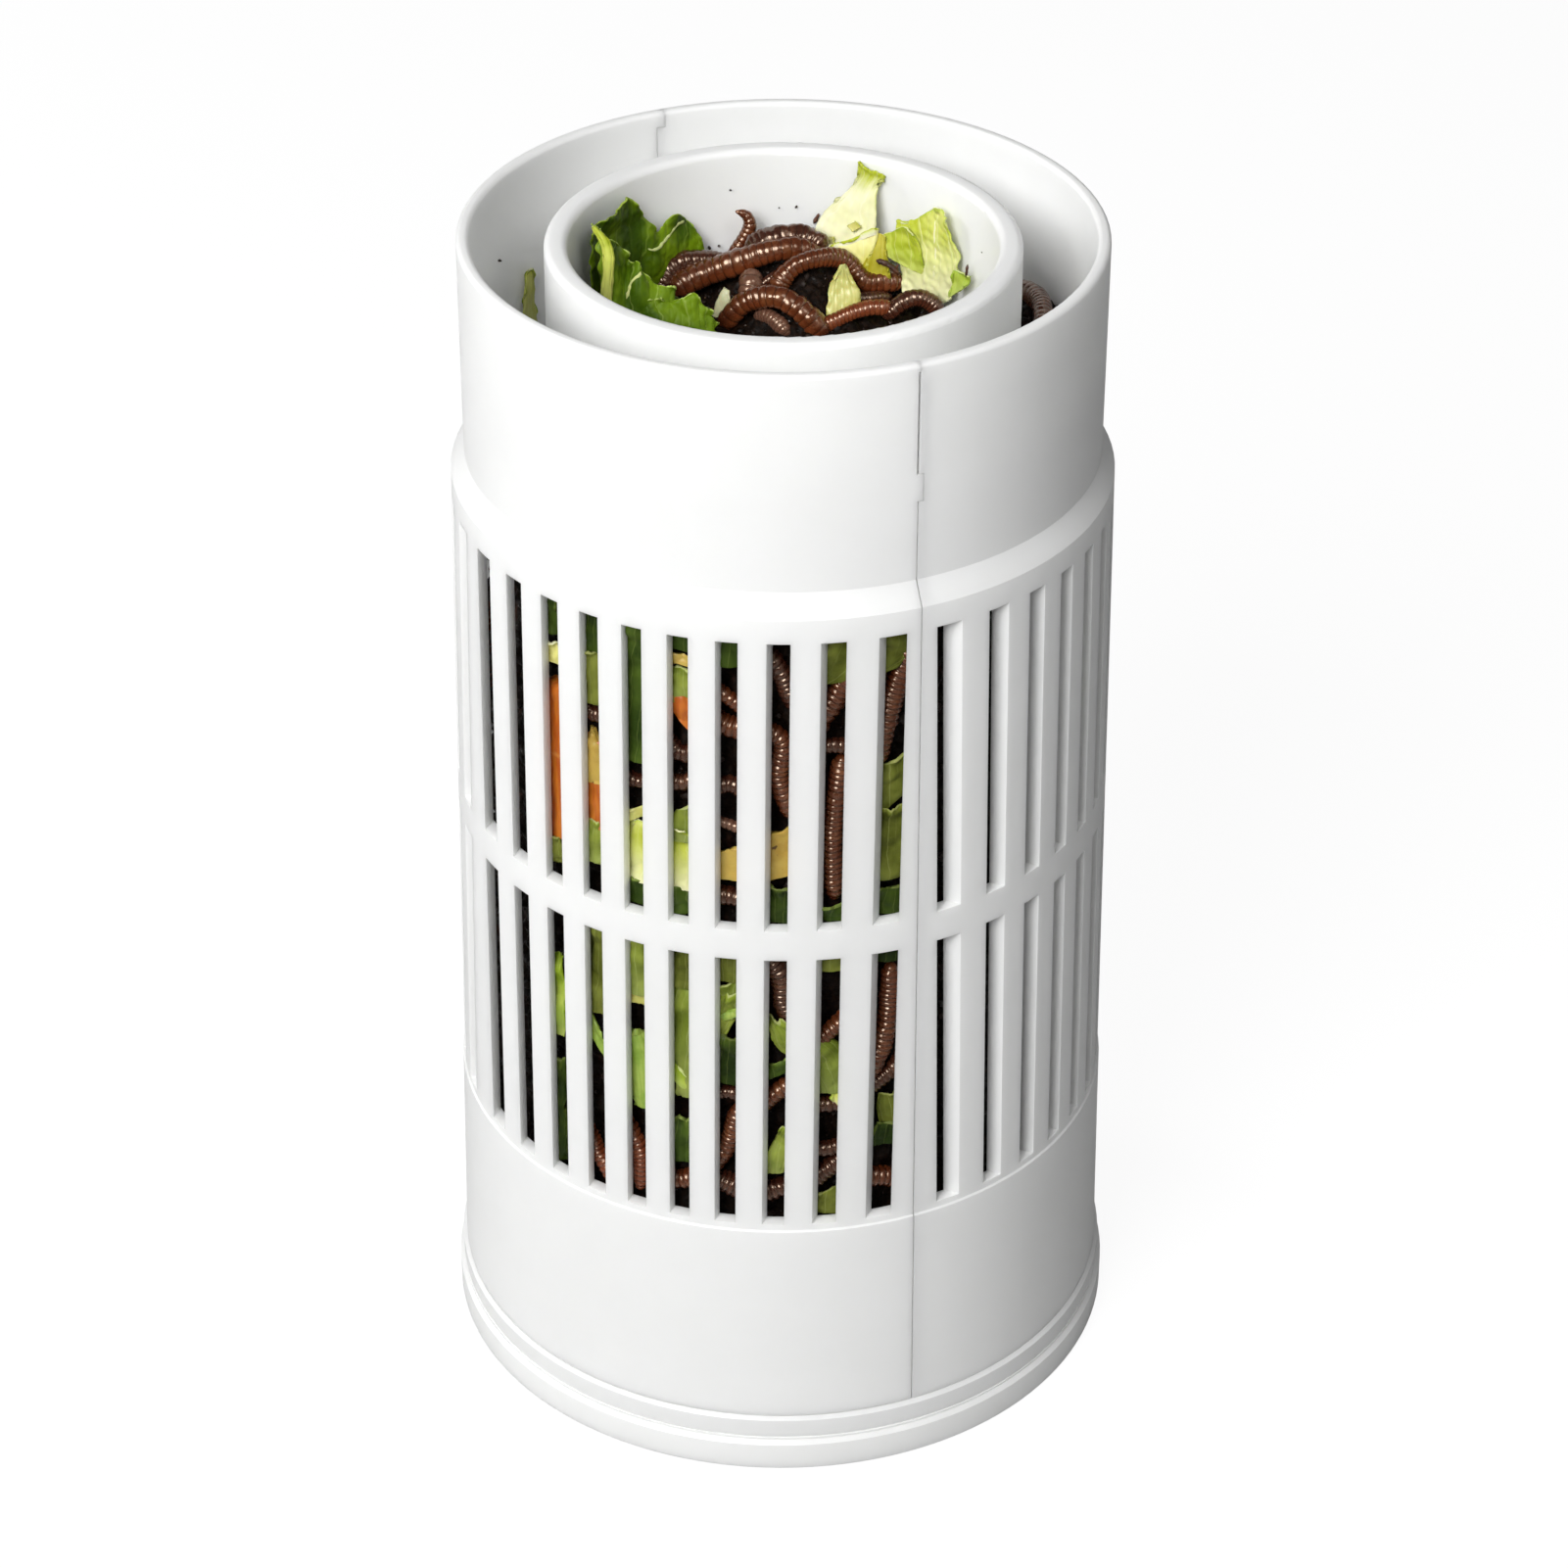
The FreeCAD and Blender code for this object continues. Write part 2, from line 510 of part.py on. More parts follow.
# Bedding in the feed tube: it fills the grid's spigot, slopes up to the back and has a heap there
def tube_bedding():
    bore = TUBE_BORE + " - rest_gap"
    foot = primitive("Part::Cylinder", "bedding_foot",
                     Radius=TUBE_BORE + " - seat_play - grid_wall - rest_gap",
                     Height="grid_spigot + rest_gap + overcut")
    bind(foot, "Placement.Base.z", TUBE_FOOT)
    column = primitive("Part::Cylinder", "bedding_column", Radius=bore,
                       Height="total_height - tube_recess - tube_round - " + TUBE_FOOT
                       + " - grid_spigot - rest_gap")
    bind(column, "Placement.Base.z", TUBE_FOOT + " + grid_spigot + rest_gap")
    air = air_above("air_over_feed", Vector(1, 0, 0), value("feed_tilt"), value(FEED_LEVEL))
    level_column = doc.addObject("Part::Cut", "level_column")
    level_column.Base = column
    level_column.Tool = air
    heap = primitive("Part::Cone", "heap", Radius1="heap_radius", Radius2="heap_crown",
                     Height=HEAP_HEIGHT)
    bind(heap, "Placement.Base.x", "heap_right * " + TUBE_BORE)
    bind(heap, "Placement.Base.y", "heap_back * " + TUBE_BORE)
    bind(heap, "Placement.Base.z", HEAP_BASE)
    bore_cylinder = primitive("Part::Cylinder", "heap_limit", Radius=bore, Height="total_height")
    heap_inside = doc.addObject("Part::Common", "heap_inside")
    heap_inside.Base = heap
    heap_inside.Tool = bore_cylinder
    fill = doc.addObject("Part::MultiFuse", "tube_bedding")
    fill.Shapes = [foot, level_column, heap_inside]
    fill.Refine = True
    doc.recompute()
    return keep(fill, "tube_bedding")


ring_bedding()
tube_bedding()


def solid_piece(label, shape):
    """A sub-part whose shape comes from Part's own functions."""
    item = doc.addObject("Part::Feature", label)
    item.Shape = shape
    return keep(item, label)


def cage_bore_at(height):
    """Inside radius of the slotted wall at a height."""
    top, base = value(CAGE_TOP), value(SHELL_BASE)
    share = (height - base) / (top - base)
    return value(FOOT_BORE) + share * (value(CAGE_TOP_BORE) - value(FOOT_BORE))


def tier_height(tier, level):
    """A height in one tier of slots. Level 0 is the slots' foot and level 1 their head."""
    base = value(UPPER_SLOTS) if tier == "upper" else value(LOWER_SLOTS)
    return base + level * value("slot_height")


def at(radius, angle, height):
    """A point from its radius, its angle from the front towards +X, in degrees, and its height."""
    turn = math.radians(angle)
    return Vector(radius * math.sin(turn), -radius * math.cos(turn), height)


def route(points):
    """Straight runs joined by arcs that touch them, as one wire through the given points."""
    edges = []
    start = points[0]
    for before, corner, after in zip(points, points[1:], points[2:]):
        inward = (before - corner).normalize()
        outward = (after - corner).normalize()
        turn = math.pi - inward.getAngle(outward)
        reach = 0.45 * min((before - corner).Length, (after - corner).Length)
        radius = reach / math.tan(turn / 2)
        entry = corner + inward * reach
        leave = corner + outward * reach
        middle_way = (inward + outward).normalize()
        centre = corner + middle_way * math.hypot(radius, reach)
        crest = centre - middle_way * radius
        edges.append(Part.LineSegment(start, entry).toShape())
        edges.append(Part.Arc(entry, crest, leave).toShape())
        start = leave
    edges.append(Part.LineSegment(start, points[-1]).toShape())
    return Part.Wire(edges)


def worm_solid(points, thickness=1.0):
    """A worm: a round body along the route, with a tapered end past each end of it."""
    radius = value("worm_radius") * thickness
    taper = value("worm_taper") * thickness
    tip = value("worm_tip") * thickness
    wire = route(points)
    head = (points[1] - points[0]).normalize()
    tail = (points[-1] - points[-2]).normalize()
    ring = Part.Wire(Part.makeCircle(radius, points[0], head))
    trunk = wire.makePipeShell([ring], True, False)
    if abs(trunk.Volume / (math.pi * radius ** 2 * wire.Length) - 1) > 0.01:
        raise RuntimeError("a worm's body folds at a bend")
    ends = [Part.makeCone(radius, tip, taper, points[0], head * -1),
            Part.makeCone(radius, tip, taper, points[-1], tail)]
    return trunk.fuse(ends).removeSplitter()


def wall_worm(label, tier, spots, thickness=1.0):
    """A worm against the inside of the slotted wall, through spots of angle and level."""
    radius = value("worm_radius") * thickness
    points = []
    for angle, level in spots:
        height = tier_height(tier, level)
        points.append(at(cage_bore_at(height) - radius - value("rest_gap") * 2, angle, height))
    return solid_piece(label, worm_solid(points, thickness))


def curved_leaf(outline, low_radius, high_radius, thickness):
    """A leaf bent round the axis: an outline of angles and heights, cut out of a thin conical wall
    whose outer radius goes from low_radius at the outline's foot to high_radius at its top."""
    angles = [angle for angle, height in outline]
    heights = [height for angle, height in outline]
    low, high = min(heights), max(heights)
    middle = (min(angles) + max(angles)) / 2
    widest = max(low_radius, high_radius)
    corners = []
    for angle, height in outline:
        corners.append(Vector(widest * math.sin(math.radians(angle - middle)), 0, height))
    face = Part.Face(Part.makePolygon(corners + corners[:1]))
    prism = face.extrude(Vector(0, -widest * 1.2, 0))
    prism.rotate(Vector(), Vector(0, 0, 1), middle)
    section = [Vector(low_radius - thickness, 0, low), Vector(low_radius, 0, low),
               Vector(high_radius, 0, high), Vector(high_radius - thickness, 0, high)]
    sheet_face = Part.Face(Part.makePolygon(section + section[:1]))
    return sheet_face.revolve(Vector(), Vector(0, 0, 1), 360).common(prism)


def wall_leaf(label, tier, outline, depth=0.0, thickness=1.0):
    """A leaf or peel against the inside of the slotted wall, its outline in angles and levels. Depth
    is how far it lies behind the wall, in millimetres, and thickness a share of a leaf's."""
    spots = [(angle, tier_height(tier, level)) for angle, level in outline]
    low = min(height for angle, height in spots)
    high = max(height for angle, height in spots)
    back = value("rest_gap") + depth
    shape = curved_leaf(spots, cage_bore_at(low) - back, cage_bore_at(high) - back,
                        value("leaf_thickness") * thickness)
    return solid_piece(label, shape)


def carrot_stick(label, tier, angle, level, length_share, lean):
    """A cut stick of carrot that stands behind a slot. Lean tips it sideways, in degrees."""
    stick = doc.addObject("Part::Box", label + "_blank")
    bind(stick, "Length", "stick_width")
    bind(stick, "Width", "stick_depth")
    bind(stick, "Height", "slot_height * %g" % length_share)
    height = tier_height(tier, level)
    bevel = doc.addObject("Part::Chamfer", label)
    doc.recompute()
    bevel.Base = stick
    edge_round = min(0.6, value("stick_depth") * 0.2)
    upright = [index for index, edge in enumerate(stick.Shape.Edges, start=1)
               if abs(edge.Vertexes[0].Z - edge.Vertexes[-1].Z) > 1]
    bevel.Edges = [(index, edge_round, edge_round) for index in upright]
    centre = Vector(value("stick_width") / 2, value("stick_depth") / 2, 0)
    taper = math.atan2(value(FOOT_BORE + " - " + CAGE_TOP_BORE), value(CAGE_TOP + " - " + SHELL_BASE))
    sway = Rotation(Vector(0, 1, 0), lean).multiply(Rotation(Vector(1, 0, 0), -math.degrees(taper)))
    spin = Rotation(Vector(0, 0, 1), angle).multiply(sway)
    place = at(cage_bore_at(height) - value("stick_depth") / 2 - value("rest_gap") * 2.5, angle, height)
    bevel.Placement = Placement(place - spin.multVec(centre), spin)
    doc.recompute()
    return keep(bevel, label)


# Pieces behind the upper slots
carrot_stick("carrot_stick_long", "upper", -46, 0.11, 0.55, 1)
carrot_stick("carrot_stick_short", "upper", -36.2, 0.21, 0.32, -2)
wall_leaf("dark_leaf_upper", "upper",
          [(-29.5, 0.52), (-25, 0.5), (-21.5, 0.6), (-18, 0.86), (-16, 0.93), (-20, 0.97), (-27, 0.96),
           (-30.5, 0.8)])
wall_leaf("pale_leaf_upper", "upper",
          [(-30, 0.02), (-16, 0.02), (-15, 0.3), (-18.5, 0.38), (-24, 0.28), (-29.5, 0.26)])
wall_leaf("yellow_peel_upper", "upper",
          [(-12, 0.1), (0, 0.08), (2.6, 0.2), (2, 0.33), (-4, 0.3), (-12, 0.26)], thickness=1.4)
wall_leaf("green_leaf_upper", "upper",
          [(5.5, 0.8), (12.5, 0.79), (23.5, 0.83), (24.5, 0.97), (12, 0.95), (6, 0.93)])
wall_leaf("green_leaf_middle", "upper",
          [(16, 0.04), (24.5, 0.06), (25, 0.3), (22, 0.47), (17, 0.42)])
wall_worm("worm_by_peel", "upper", [(-13.5, 0.86), (-8, 0.78), (-2.5, 0.63), (1.5, 0.5), (-0.5, 0.42)])
wall_worm("worm_upright", "upper", [(9, 0.7), (10.4, 0.5), (8.8, 0.3), (10.2, 0.1)])
wall_worm("worm_hooked", "upper", [(17, 0.6), (17.8, 0.72), (21.5, 0.73), (21.8, 0.58)])

# Pieces behind the lower slots
wall_leaf("light_leaf_lower", "lower",
          [(-50, 0.5), (-44, 0.5), (-43, 0.7), (-46, 0.78), (-50, 0.74)])
wall_leaf("green_leaf_lower", "lower",
          [(-38.5, 0.55), (-33.5, 0.6), (-32.5, 0.82), (-38, 0.84)])
wall_leaf("pale_stalk", "lower",
          [(-29.5, 0.36), (-24.5, 0.36), (-24, 0.93), (-29, 0.93)], thickness=2.0)
wall_leaf("grass_blades", "lower",
          [(-20.5, 0.4), (-15.5, 0.4), (-14, 0.7), (-6, 0.66), (-5.5, 0.93), (-19.5, 0.93)])
wall_leaf("leaf_tip_lower", "lower",
          [(-2.8, 0.62), (3, 0.6), (12.5, 0.4), (12.8, 0.6), (8, 0.68), (0, 0.76)], depth=0.4)
wall_leaf("green_leaf_foot", "lower",
          [(-3, 0.16), (2.5, 0.16), (3, 0.3), (-2.5, 0.31)])
wall_leaf("green_leaf_side", "lower",
          [(16.5, 0.25), (24.5, 0.24), (25, 0.38), (17, 0.4)])
wall_worm("worm_long_lower", "lower", [(19, 0.84), (20.8, 0.7), (19.4, 0.54)])
wall_worm("worm_low_left", "lower", [(-21, 0.1), (-15, 0.17), (-9, 0.3), (-7.5, 0.2)])
wall_worm("worm_low_middle", "lower", [(-3, 0.07), (3, 0.04), (8.5, 0.1), (10, 0.22)])
wall_worm("worm_low_right", "lower", [(16, 0.1), (20, 0.13), (24.5, 0.1)])
wall_worm("worm_mid_lower", "lower", [(-7.5, 0.46), (-3, 0.5), (3, 0.46)], 0.9)


# Pieces at the sides and the back
wall_leaf("green_leaf_right", "upper", [(60, 0.3), (72, 0.32), (74, 0.6), (66, 0.7), (59, 0.55)])
wall_leaf("dark_leaf_left", "lower", [(-111, 0.3), (-96, 0.28), (-94, 0.55), (-101, 0.66), (-112, 0.6)])
wall_leaf("green_leaf_rear", "upper", [(-150, 0.5), (-136, 0.52), (-133, 0.8), (-142, 0.9), (-151, 0.78)])
wall_leaf("yellow_peel_rear", "lower", [(160, 0.5), (176, 0.48), (178, 0.7), (162, 0.72)], thickness=1.4)
carrot_stick("carrot_stick_rear", "upper", 131, 0.2, 0.45, 2)
wall_worm("worm_left", "upper", [(-88, 0.2), (-82, 0.33), (-87, 0.48), (-81, 0.6)])
wall_worm("worm_right", "lower", [(84, 0.8), (88.5, 0.65), (84, 0.5), (89, 0.36)])
wall_worm("worm_rear_upper", "upper", [(150, 0.8), (156, 0.65), (151, 0.48), (157, 0.32)])
wall_worm("worm_rear_lower", "lower", [(-172, 0.76), (-165, 0.64), (-169, 0.5), (-161, 0.38)])


# Pieces on top of the bedding, in the gap between the collar and the feed tube
def on_gap_bedding(radius, angle, above):
    """A point over the sloping bedding in the gap."""
    place = at(radius, angle, 0)
    place.z = value(GAP_LEVEL) + place.x * math.tan(math.radians(value("gap_tilt"))) + above
    return place


def gap_worm():
    """A worm that lies on the bedding at the right and bends out to the collar."""
    collar = value(COLLAR_BORE)
    tube = value("tube_radius")
    middle = (collar + tube) / 2
    room = ((collar - tube) / 2 - value("worm_radius")) / 6.1
    spots = [(-1.5, 128), (3, 121), (5.1, 117.5), (4.5, 113), (2.8, 108.5), (1, 104.5)]
    above = value("worm_radius") + value("rest_gap")
    points = [on_gap_bedding(middle + room * aside, angle, above) for aside, angle in spots]
    return solid_piece("worm_arched", worm_solid(points))


def gap_leaf():
    """A narrow blade that stands on the bedding at the left."""
    radius = value(COLLAR_BORE) - 3 * value("rest_gap")
    foot = on_gap_bedding(radius, -122.5, value("rest_gap")).z
    outline = [(-122, foot), (-118, foot), (-118.5, foot + 24), (-120.5, foot + 30), (-122.5, foot + 25)]
    return solid_piece("leaf_blade", curved_leaf(outline, radius, radius, value("leaf_thickness")))


gap_worm()
gap_leaf()


# Pieces on the bedding in the feed tube
def feed_surface(across, depth):
    """Height of the bedding in the tube, with its heap, over a point."""
    slope = value(FEED_LEVEL) + depth * math.tan(math.radians(value("feed_tilt")))
    bore = value(TUBE_BORE)
    away = math.hypot(across - value("heap_right") * bore, depth - value("heap_back") * bore)
    crown, foot = value("heap_crown"), value("heap_radius")
    heap = value(HEAP_BASE) + value(HEAP_HEIGHT) * min(1.0, (foot - away) / (foot - crown))
    return max(slope, heap)


def resting_height(across, depth, radius):
    """Height of the centre of a ball of that radius that lies on the bedding in the tube."""
    height = feed_surface(across, depth) + radius
    for share in (0.3, 0.6, 0.8):
        away = share * radius
        for step in range(12):
            turn = math.radians(30 * step)
            under = feed_surface(across + away * math.cos(turn), depth + away * math.sin(turn))
            height = max(height, under + math.sqrt(radius ** 2 - away ** 2))
    return height


def tube_worm(label, spots, thickness=1.0):
    """A worm on that bedding, through spots given as shares of the tube's bore to the right and to
    the back, and as a rise over the bedding, in millimetres."""
    bore = value(TUBE_BORE)
    radius = value("worm_radius") * thickness
    points = []
    for across, depth, rise in spots:
        x, y = across * bore, depth * bore
        points.append(Vector(x, y, resting_height(x, y, radius) + value("rest_gap") + rise))
    return solid_piece(label, worm_solid(points, thickness))


tube_worm("worm_fat", [(-0.46, 0.62, 0.4), (-0.28, 0.69, 0.9), (-0.09, 0.755, 0.7), (0.08, 0.8, 0.3)])
tube_worm("worm_back", [(-0.43, 0.75, 0.2), (-0.33, 0.795, 0.2), (-0.21, 0.835, 0.1)], 0.7)
tube_worm("worm_bridge",
          [(0.07, 0.69, 0.6), (0.19, 0.71, 0.8), (0.29, 0.68, 0.8), (0.37, 0.61, 0.8), (0.44, 0.6, 0.5),
           (0.52, 0.6, 1.5)])
tube_worm("worm_front_arch",
          [(-0.2, 0.46, 0.5), (-0.13, 0.54, 0.8), (0.0, 0.55, 1.0), (0.08, 0.48, 0.6), (0.13, 0.42, 0.4)])
tube_worm("worm_red", [(0.42, 0.455, 0.2), (0.49, 0.475, 0.3), (0.56, 0.5, 0.3), (0.61, 0.505, 0.2)], 0.9)
tube_worm("worm_pale", [(-0.24, 0.26, 0.2), (-0.08, 0.3, 0.3), (0.06, 0.24, 0.2)], 0.8)


def upright_tail():
    """The tail of a worm that stands up from the heap by the back wall."""
    bore = value(TUBE_BORE)
    x, y = -0.17 * bore, 0.94 * bore
    foot = feed_surface(x, y) + value("rest_gap")
    thin = 0.42 * value("worm_radius")
    points = [Vector(x - 0.4, y - 1.2, foot + thin), Vector(x + 1.5, y - 1.3, foot + 3.6),
              Vector(x + 2.2, y - 1.4, foot + 8), Vector(x + 0.6, y - 1.5, foot + 10.6)]
    wire = route(points)
    ring = Part.Wire(Part.makeCircle(thin, points[0], points[1] - points[0]))
    trunk = wire.makePipeShell([ring], True, False)
    return solid_piece("worm_tail", trunk)


upright_tail()


def tube_leaf(label, outline, low_share, high_share, thickness=1.0):
    """A leaf that leans on the tube's wall. Its outline is in angles and in millimetres over the
    bedding's level, and its radius in shares of the tube's bore, at the foot and at the top."""
    bore = value(TUBE_BORE)
    spots = [(angle, value(FEED_LEVEL) + rise) for angle, rise in outline]
    shape = curved_leaf(spots, low_share * bore, high_share * bore, value("leaf_thickness") * thickness)
    return solid_piece(label, shape)


tube_leaf("lettuce_dark_back",
          [(-156, 7.2), (-132, 5.4), (-108, 3.2), (-107, 29), (-119, 30.5), (-127.5, 33.7), (-135, 25.5),
           (-141, 21), (-147, 24), (-152, 21), (-156, 18)], 0.93, 0.965)
tube_leaf("lettuce_dark_side",
          [(-104, 2.2), (-84, 0.6), (-83, 12), (-88, 19), (-96, 26), (-103, 28)], 0.86, 0.92)
tube_leaf("lettuce_pale",
          [(151, 9.2), (160, 13), (169, 13.2), (169, 18), (165.5, 21), (158, 35.6), (150, 34.4),
           (151, 28)], 0.935, 0.955, 1.6)
tube_leaf("lettuce_light",
          [(111, 3), (130, 5), (140, 6.6), (149, 8.6), (149, 18.5), (142, 23), (132, 28), (126, 31.6),
           (118, 29.5), (112, 18)], 0.945, 0.965)


def pale_chip():
    """A three-cornered chip of pale leaf that stands on the bedding among the worms."""
    bore = value(TUBE_BORE)
    left, right, depth = 0.2 * bore, 0.34 * bore, 0.54 * bore
    foot = max(feed_surface(left, depth + 1), feed_surface(right, depth + 1)) + value("rest_gap")
    corners = [Vector(left, depth, foot), Vector(right, depth, foot),
               Vector(right - 1, depth, foot + 5), Vector(left + 4, depth, foot + 8)]
    face = Part.Face(Part.makePolygon(corners + corners[:1]))
    return solid_piece("pale_chip", face.extrude(Vector(0, value("leaf_thickness"), 0)))


pale_chip()

# Every object has to be sound before anything is written
doc.recompute()
for item in doc.Objects:
    if "Invalid" in item.State or "Error" in item.State:
        raise RuntimeError("%s failed: %s" % (item.Name, item.State))
for item in SUB_PARTS:
    if item.Shape.isNull() or not item.Shape.isValid():
        raise RuntimeError("%s has no sound shape" % item.Label)

os.makedirs("parts", exist_ok=True)
for item in SUB_PARTS:
    item.Shape.exportStep("parts/%s.step" % item.Label)
    box = item.Shape.BoundBox
    print("%-22s solids %d  volume %9.1f  z %6.1f to %6.1f"
          % (item.Label, len(item.Shape.Solids), item.Shape.Volume, box.ZMin, box.ZMax))
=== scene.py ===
import math

import bpy
import numpy as np
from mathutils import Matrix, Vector


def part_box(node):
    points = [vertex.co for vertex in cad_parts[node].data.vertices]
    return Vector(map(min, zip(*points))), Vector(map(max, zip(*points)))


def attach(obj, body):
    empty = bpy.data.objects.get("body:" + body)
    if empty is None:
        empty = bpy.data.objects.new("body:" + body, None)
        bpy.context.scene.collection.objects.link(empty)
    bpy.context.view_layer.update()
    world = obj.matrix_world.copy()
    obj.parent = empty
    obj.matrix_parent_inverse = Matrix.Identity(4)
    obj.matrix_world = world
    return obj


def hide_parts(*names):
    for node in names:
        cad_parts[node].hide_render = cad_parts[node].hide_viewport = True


# The looks of a round garden wormery: white slotted shell, base ring and feed tube, dark bedding,
# and the worms, leaves, peels and carrot sticks that lie in it. The axis is Z, the foot is at Z = 0
# and the front faces -Y. Shapes are worked out in millimetres and become metres in the meshes.

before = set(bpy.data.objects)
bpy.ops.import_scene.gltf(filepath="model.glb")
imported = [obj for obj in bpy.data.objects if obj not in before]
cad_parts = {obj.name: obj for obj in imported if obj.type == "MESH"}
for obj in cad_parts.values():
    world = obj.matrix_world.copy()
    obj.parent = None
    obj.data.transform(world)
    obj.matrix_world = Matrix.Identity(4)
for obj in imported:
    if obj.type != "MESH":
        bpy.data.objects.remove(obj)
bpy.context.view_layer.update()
MM = 0.001
HOUSING, TUBE = "housing", "feed_tube_set"

# Sizes of the parts that carry the contents, in millimetres
def node_box(node):
    """The low and the high corner of a CAD node's box, in millimetres."""
    low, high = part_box(node)
    return np.array(low) / MM, np.array(high) / MM


TUBE_RADIUS = node_box("feed_tube")[1][0]
RING_FOOT = node_box("ring_bedding")[0][2]
FEED_FOOT = node_box("tube_bedding")[0][2]
TUBE_WALL = 5.4
TUBE_BORE = TUBE_RADIUS - TUBE_WALL
CAGE_TOP, CAGE_TOP_BORE = 239.5, 74.6
CAGE_FOOT, CAGE_FOOT_BORE = 15.3, 78.7
COLLAR_BORE = 72.0
SLOT_HEIGHT = 76.0
TIER_FOOT = {"upper": 157.6, "lower": 73.6}
SPIGOT_WALL, SPIGOT_HEIGHT = 2.9, 8.3
# The bedding: how far it keeps from the walls round it, the heights where its side leaves the slotted
# wall and reaches the collar, and the rows of its neck, top and inner side
BEDDING_SET_BACK, COLLAR_PLAY, TUBE_PLAY, FEED_PLAY = 6.1, 0.4, 0.7, 0.35
BEDDING_NECK, COLLAR_BASE = 237.0, 245.0
NECK_ROWS, TOP_ROWS, INNER_ROWS = 15, 14, 11
# The bedding's top in the gap, its hollow between two angles in degrees and the run of the hollow's ends
GAP_LEVEL, GAP_SLOPE, GAP_HOLLOW = 253.7, math.tan(math.radians(13)), 4.5
HOLLOW_START, HOLLOW_END = 78, 150
HOLLOW_START_RUN, HOLLOW_END_RUN = 12, 20
# The bedding's top in the tube, and the heap on it: radii of its foot and crown, depth and rise
FEED_LEVEL, FEED_SLOPE = 259.3, math.tan(math.radians(8.5))
HEAP_PLACE = np.array([0.08, 0.8]) * TUBE_BORE
HEAP_FOOT, HEAP_CROWN, HEAP_SINK, HEAP_RISE = 30.0, 9.0, 6.0, 7.0


# Shapes as arrays
def waves(points, size, seed, count=14):
    """Smooth noise: the sum of sines of plane waves in random directions, of wavelength near size."""
    rng = np.random.default_rng(seed)
    ways = rng.normal(size=(count, 3))
    ways /= np.linalg.norm(ways, axis=1, keepdims=True)
    ways *= 2 * math.pi / size * rng.uniform(0.7, 1.5, (count, 1))
    phases = rng.uniform(0, 2 * math.pi, count)
    return np.sin(points @ ways.T + phases).sum(axis=-1) * math.sqrt(2 / count)


def smooth_step(share):
    """3 t^2 - 2 t^3, with t held between 0 and 1."""
    t = np.clip(share, 0, 1)
    return t * t * (3 - 2 * t)


def spline_weights(spans, t):
    """Weights of a cubic B-spline's points at parameters t, from 0 to spans, with three-fold ends."""
    place = np.clip(t * spans, 0, spans - 1e-9)
    first = place.astype(int)
    f = place - first
    basis = np.stack([(1 - f) ** 3, 3 * f ** 3 - 6 * f ** 2 + 4,
                      -3 * f ** 3 + 3 * f ** 2 + 3 * f + 1, f ** 3], axis=-1) / 6
    return first, basis


def spline(points, t):
    """Cubic B-spline from the first to the last of a list of points, drawn towards those between, at
    parameters t from 0 to 1."""
    net = np.concatenate([points[:1], points[:1], points, points[-1:], points[-1:]])
    first, basis = spline_weights(len(net) - 3, t)
    return sum(basis[..., k, None] * net[first + k] for k in range(4))


def even_path(points, count):
    """The spline through points, sampled at equal steps of its own length, and that length."""
    fine = spline(np.asarray(points, float), np.linspace(0, 1, 60 * len(points)))
    run = np.concatenate([[0], np.cumsum(np.linalg.norm(np.diff(fine, axis=0), axis=1))])
    steps = np.linspace(0, run[-1], count)
    path = np.stack([np.interp(steps, run, fine[:, k]) for k in range(3)], axis=1)
    return path, run[-1]


def patch(net, u, v):
    """Cubic B-spline surface over a net of points, at parameters u along its rows and v across them.
    u and v are arrays of one shape."""
    net = np.asarray(net, float)
    net = np.concatenate([net[:1], net[:1], net, net[-1:], net[-1:]])
    net = np.concatenate([net[:, :1], net[:, :1], net, net[:, -1:], net[:, -1:]], axis=1)
    row, row_basis = spline_weights(net.shape[0] - 3, u)
    column, column_basis = spline_weights(net.shape[1] - 3, v)
    return sum(row_basis[..., i, None] * column_basis[..., j, None] * net[row + i, column + j]
               for i in range(4) for j in range(4))


def unit(vectors):
    """Each vector over its own length."""
    return vectors / np.maximum(np.linalg.norm(vectors, axis=-1, keepdims=True), 1e-9)


def around_axis(radius, angle, height):
    """Points from radius, angle from the front towards +X in degrees, and height."""
    turn = np.radians(angle)
    return np.stack(np.broadcast_arrays(radius * np.sin(turn), -radius * np.cos(turn), height), axis=-1)


def cage_bore(height):
    """Inside radius of the slotted wall, which tapers evenly from its foot to its top."""
    share = (height - CAGE_FOOT) / (CAGE_TOP - CAGE_FOOT)
    return CAGE_FOOT_BORE + share * (CAGE_TOP_BORE - CAGE_FOOT_BORE)


def gap_height(x, y):
    """Height of the bedding in the gap round the tube, which slopes up to the right and has a hollow
    under the worm that arches there."""
    turn = np.degrees(np.arctan2(x, -y))
    hollow = smooth_step((turn - HOLLOW_START) / HOLLOW_START_RUN)
    hollow = hollow * smooth_step((HOLLOW_END - turn) / HOLLOW_END_RUN)
    return GAP_LEVEL + x * GAP_SLOPE - GAP_HOLLOW * hollow


def feed_height(x, y):
    """Height of the bedding in the tube: a slope up to the back, or the cone of the heap if higher."""
    slope = FEED_LEVEL + y * FEED_SLOPE
    away = np.hypot(x - HEAP_PLACE[0], y - HEAP_PLACE[1])
    cone = np.minimum(1, (HEAP_FOOT - away) / (HEAP_FOOT - HEAP_CROWN)) * (HEAP_RISE + HEAP_SINK)
    return np.maximum(slope, FEED_LEVEL - HEAP_SINK + HEAP_PLACE[1] * FEED_SLOPE + cone)


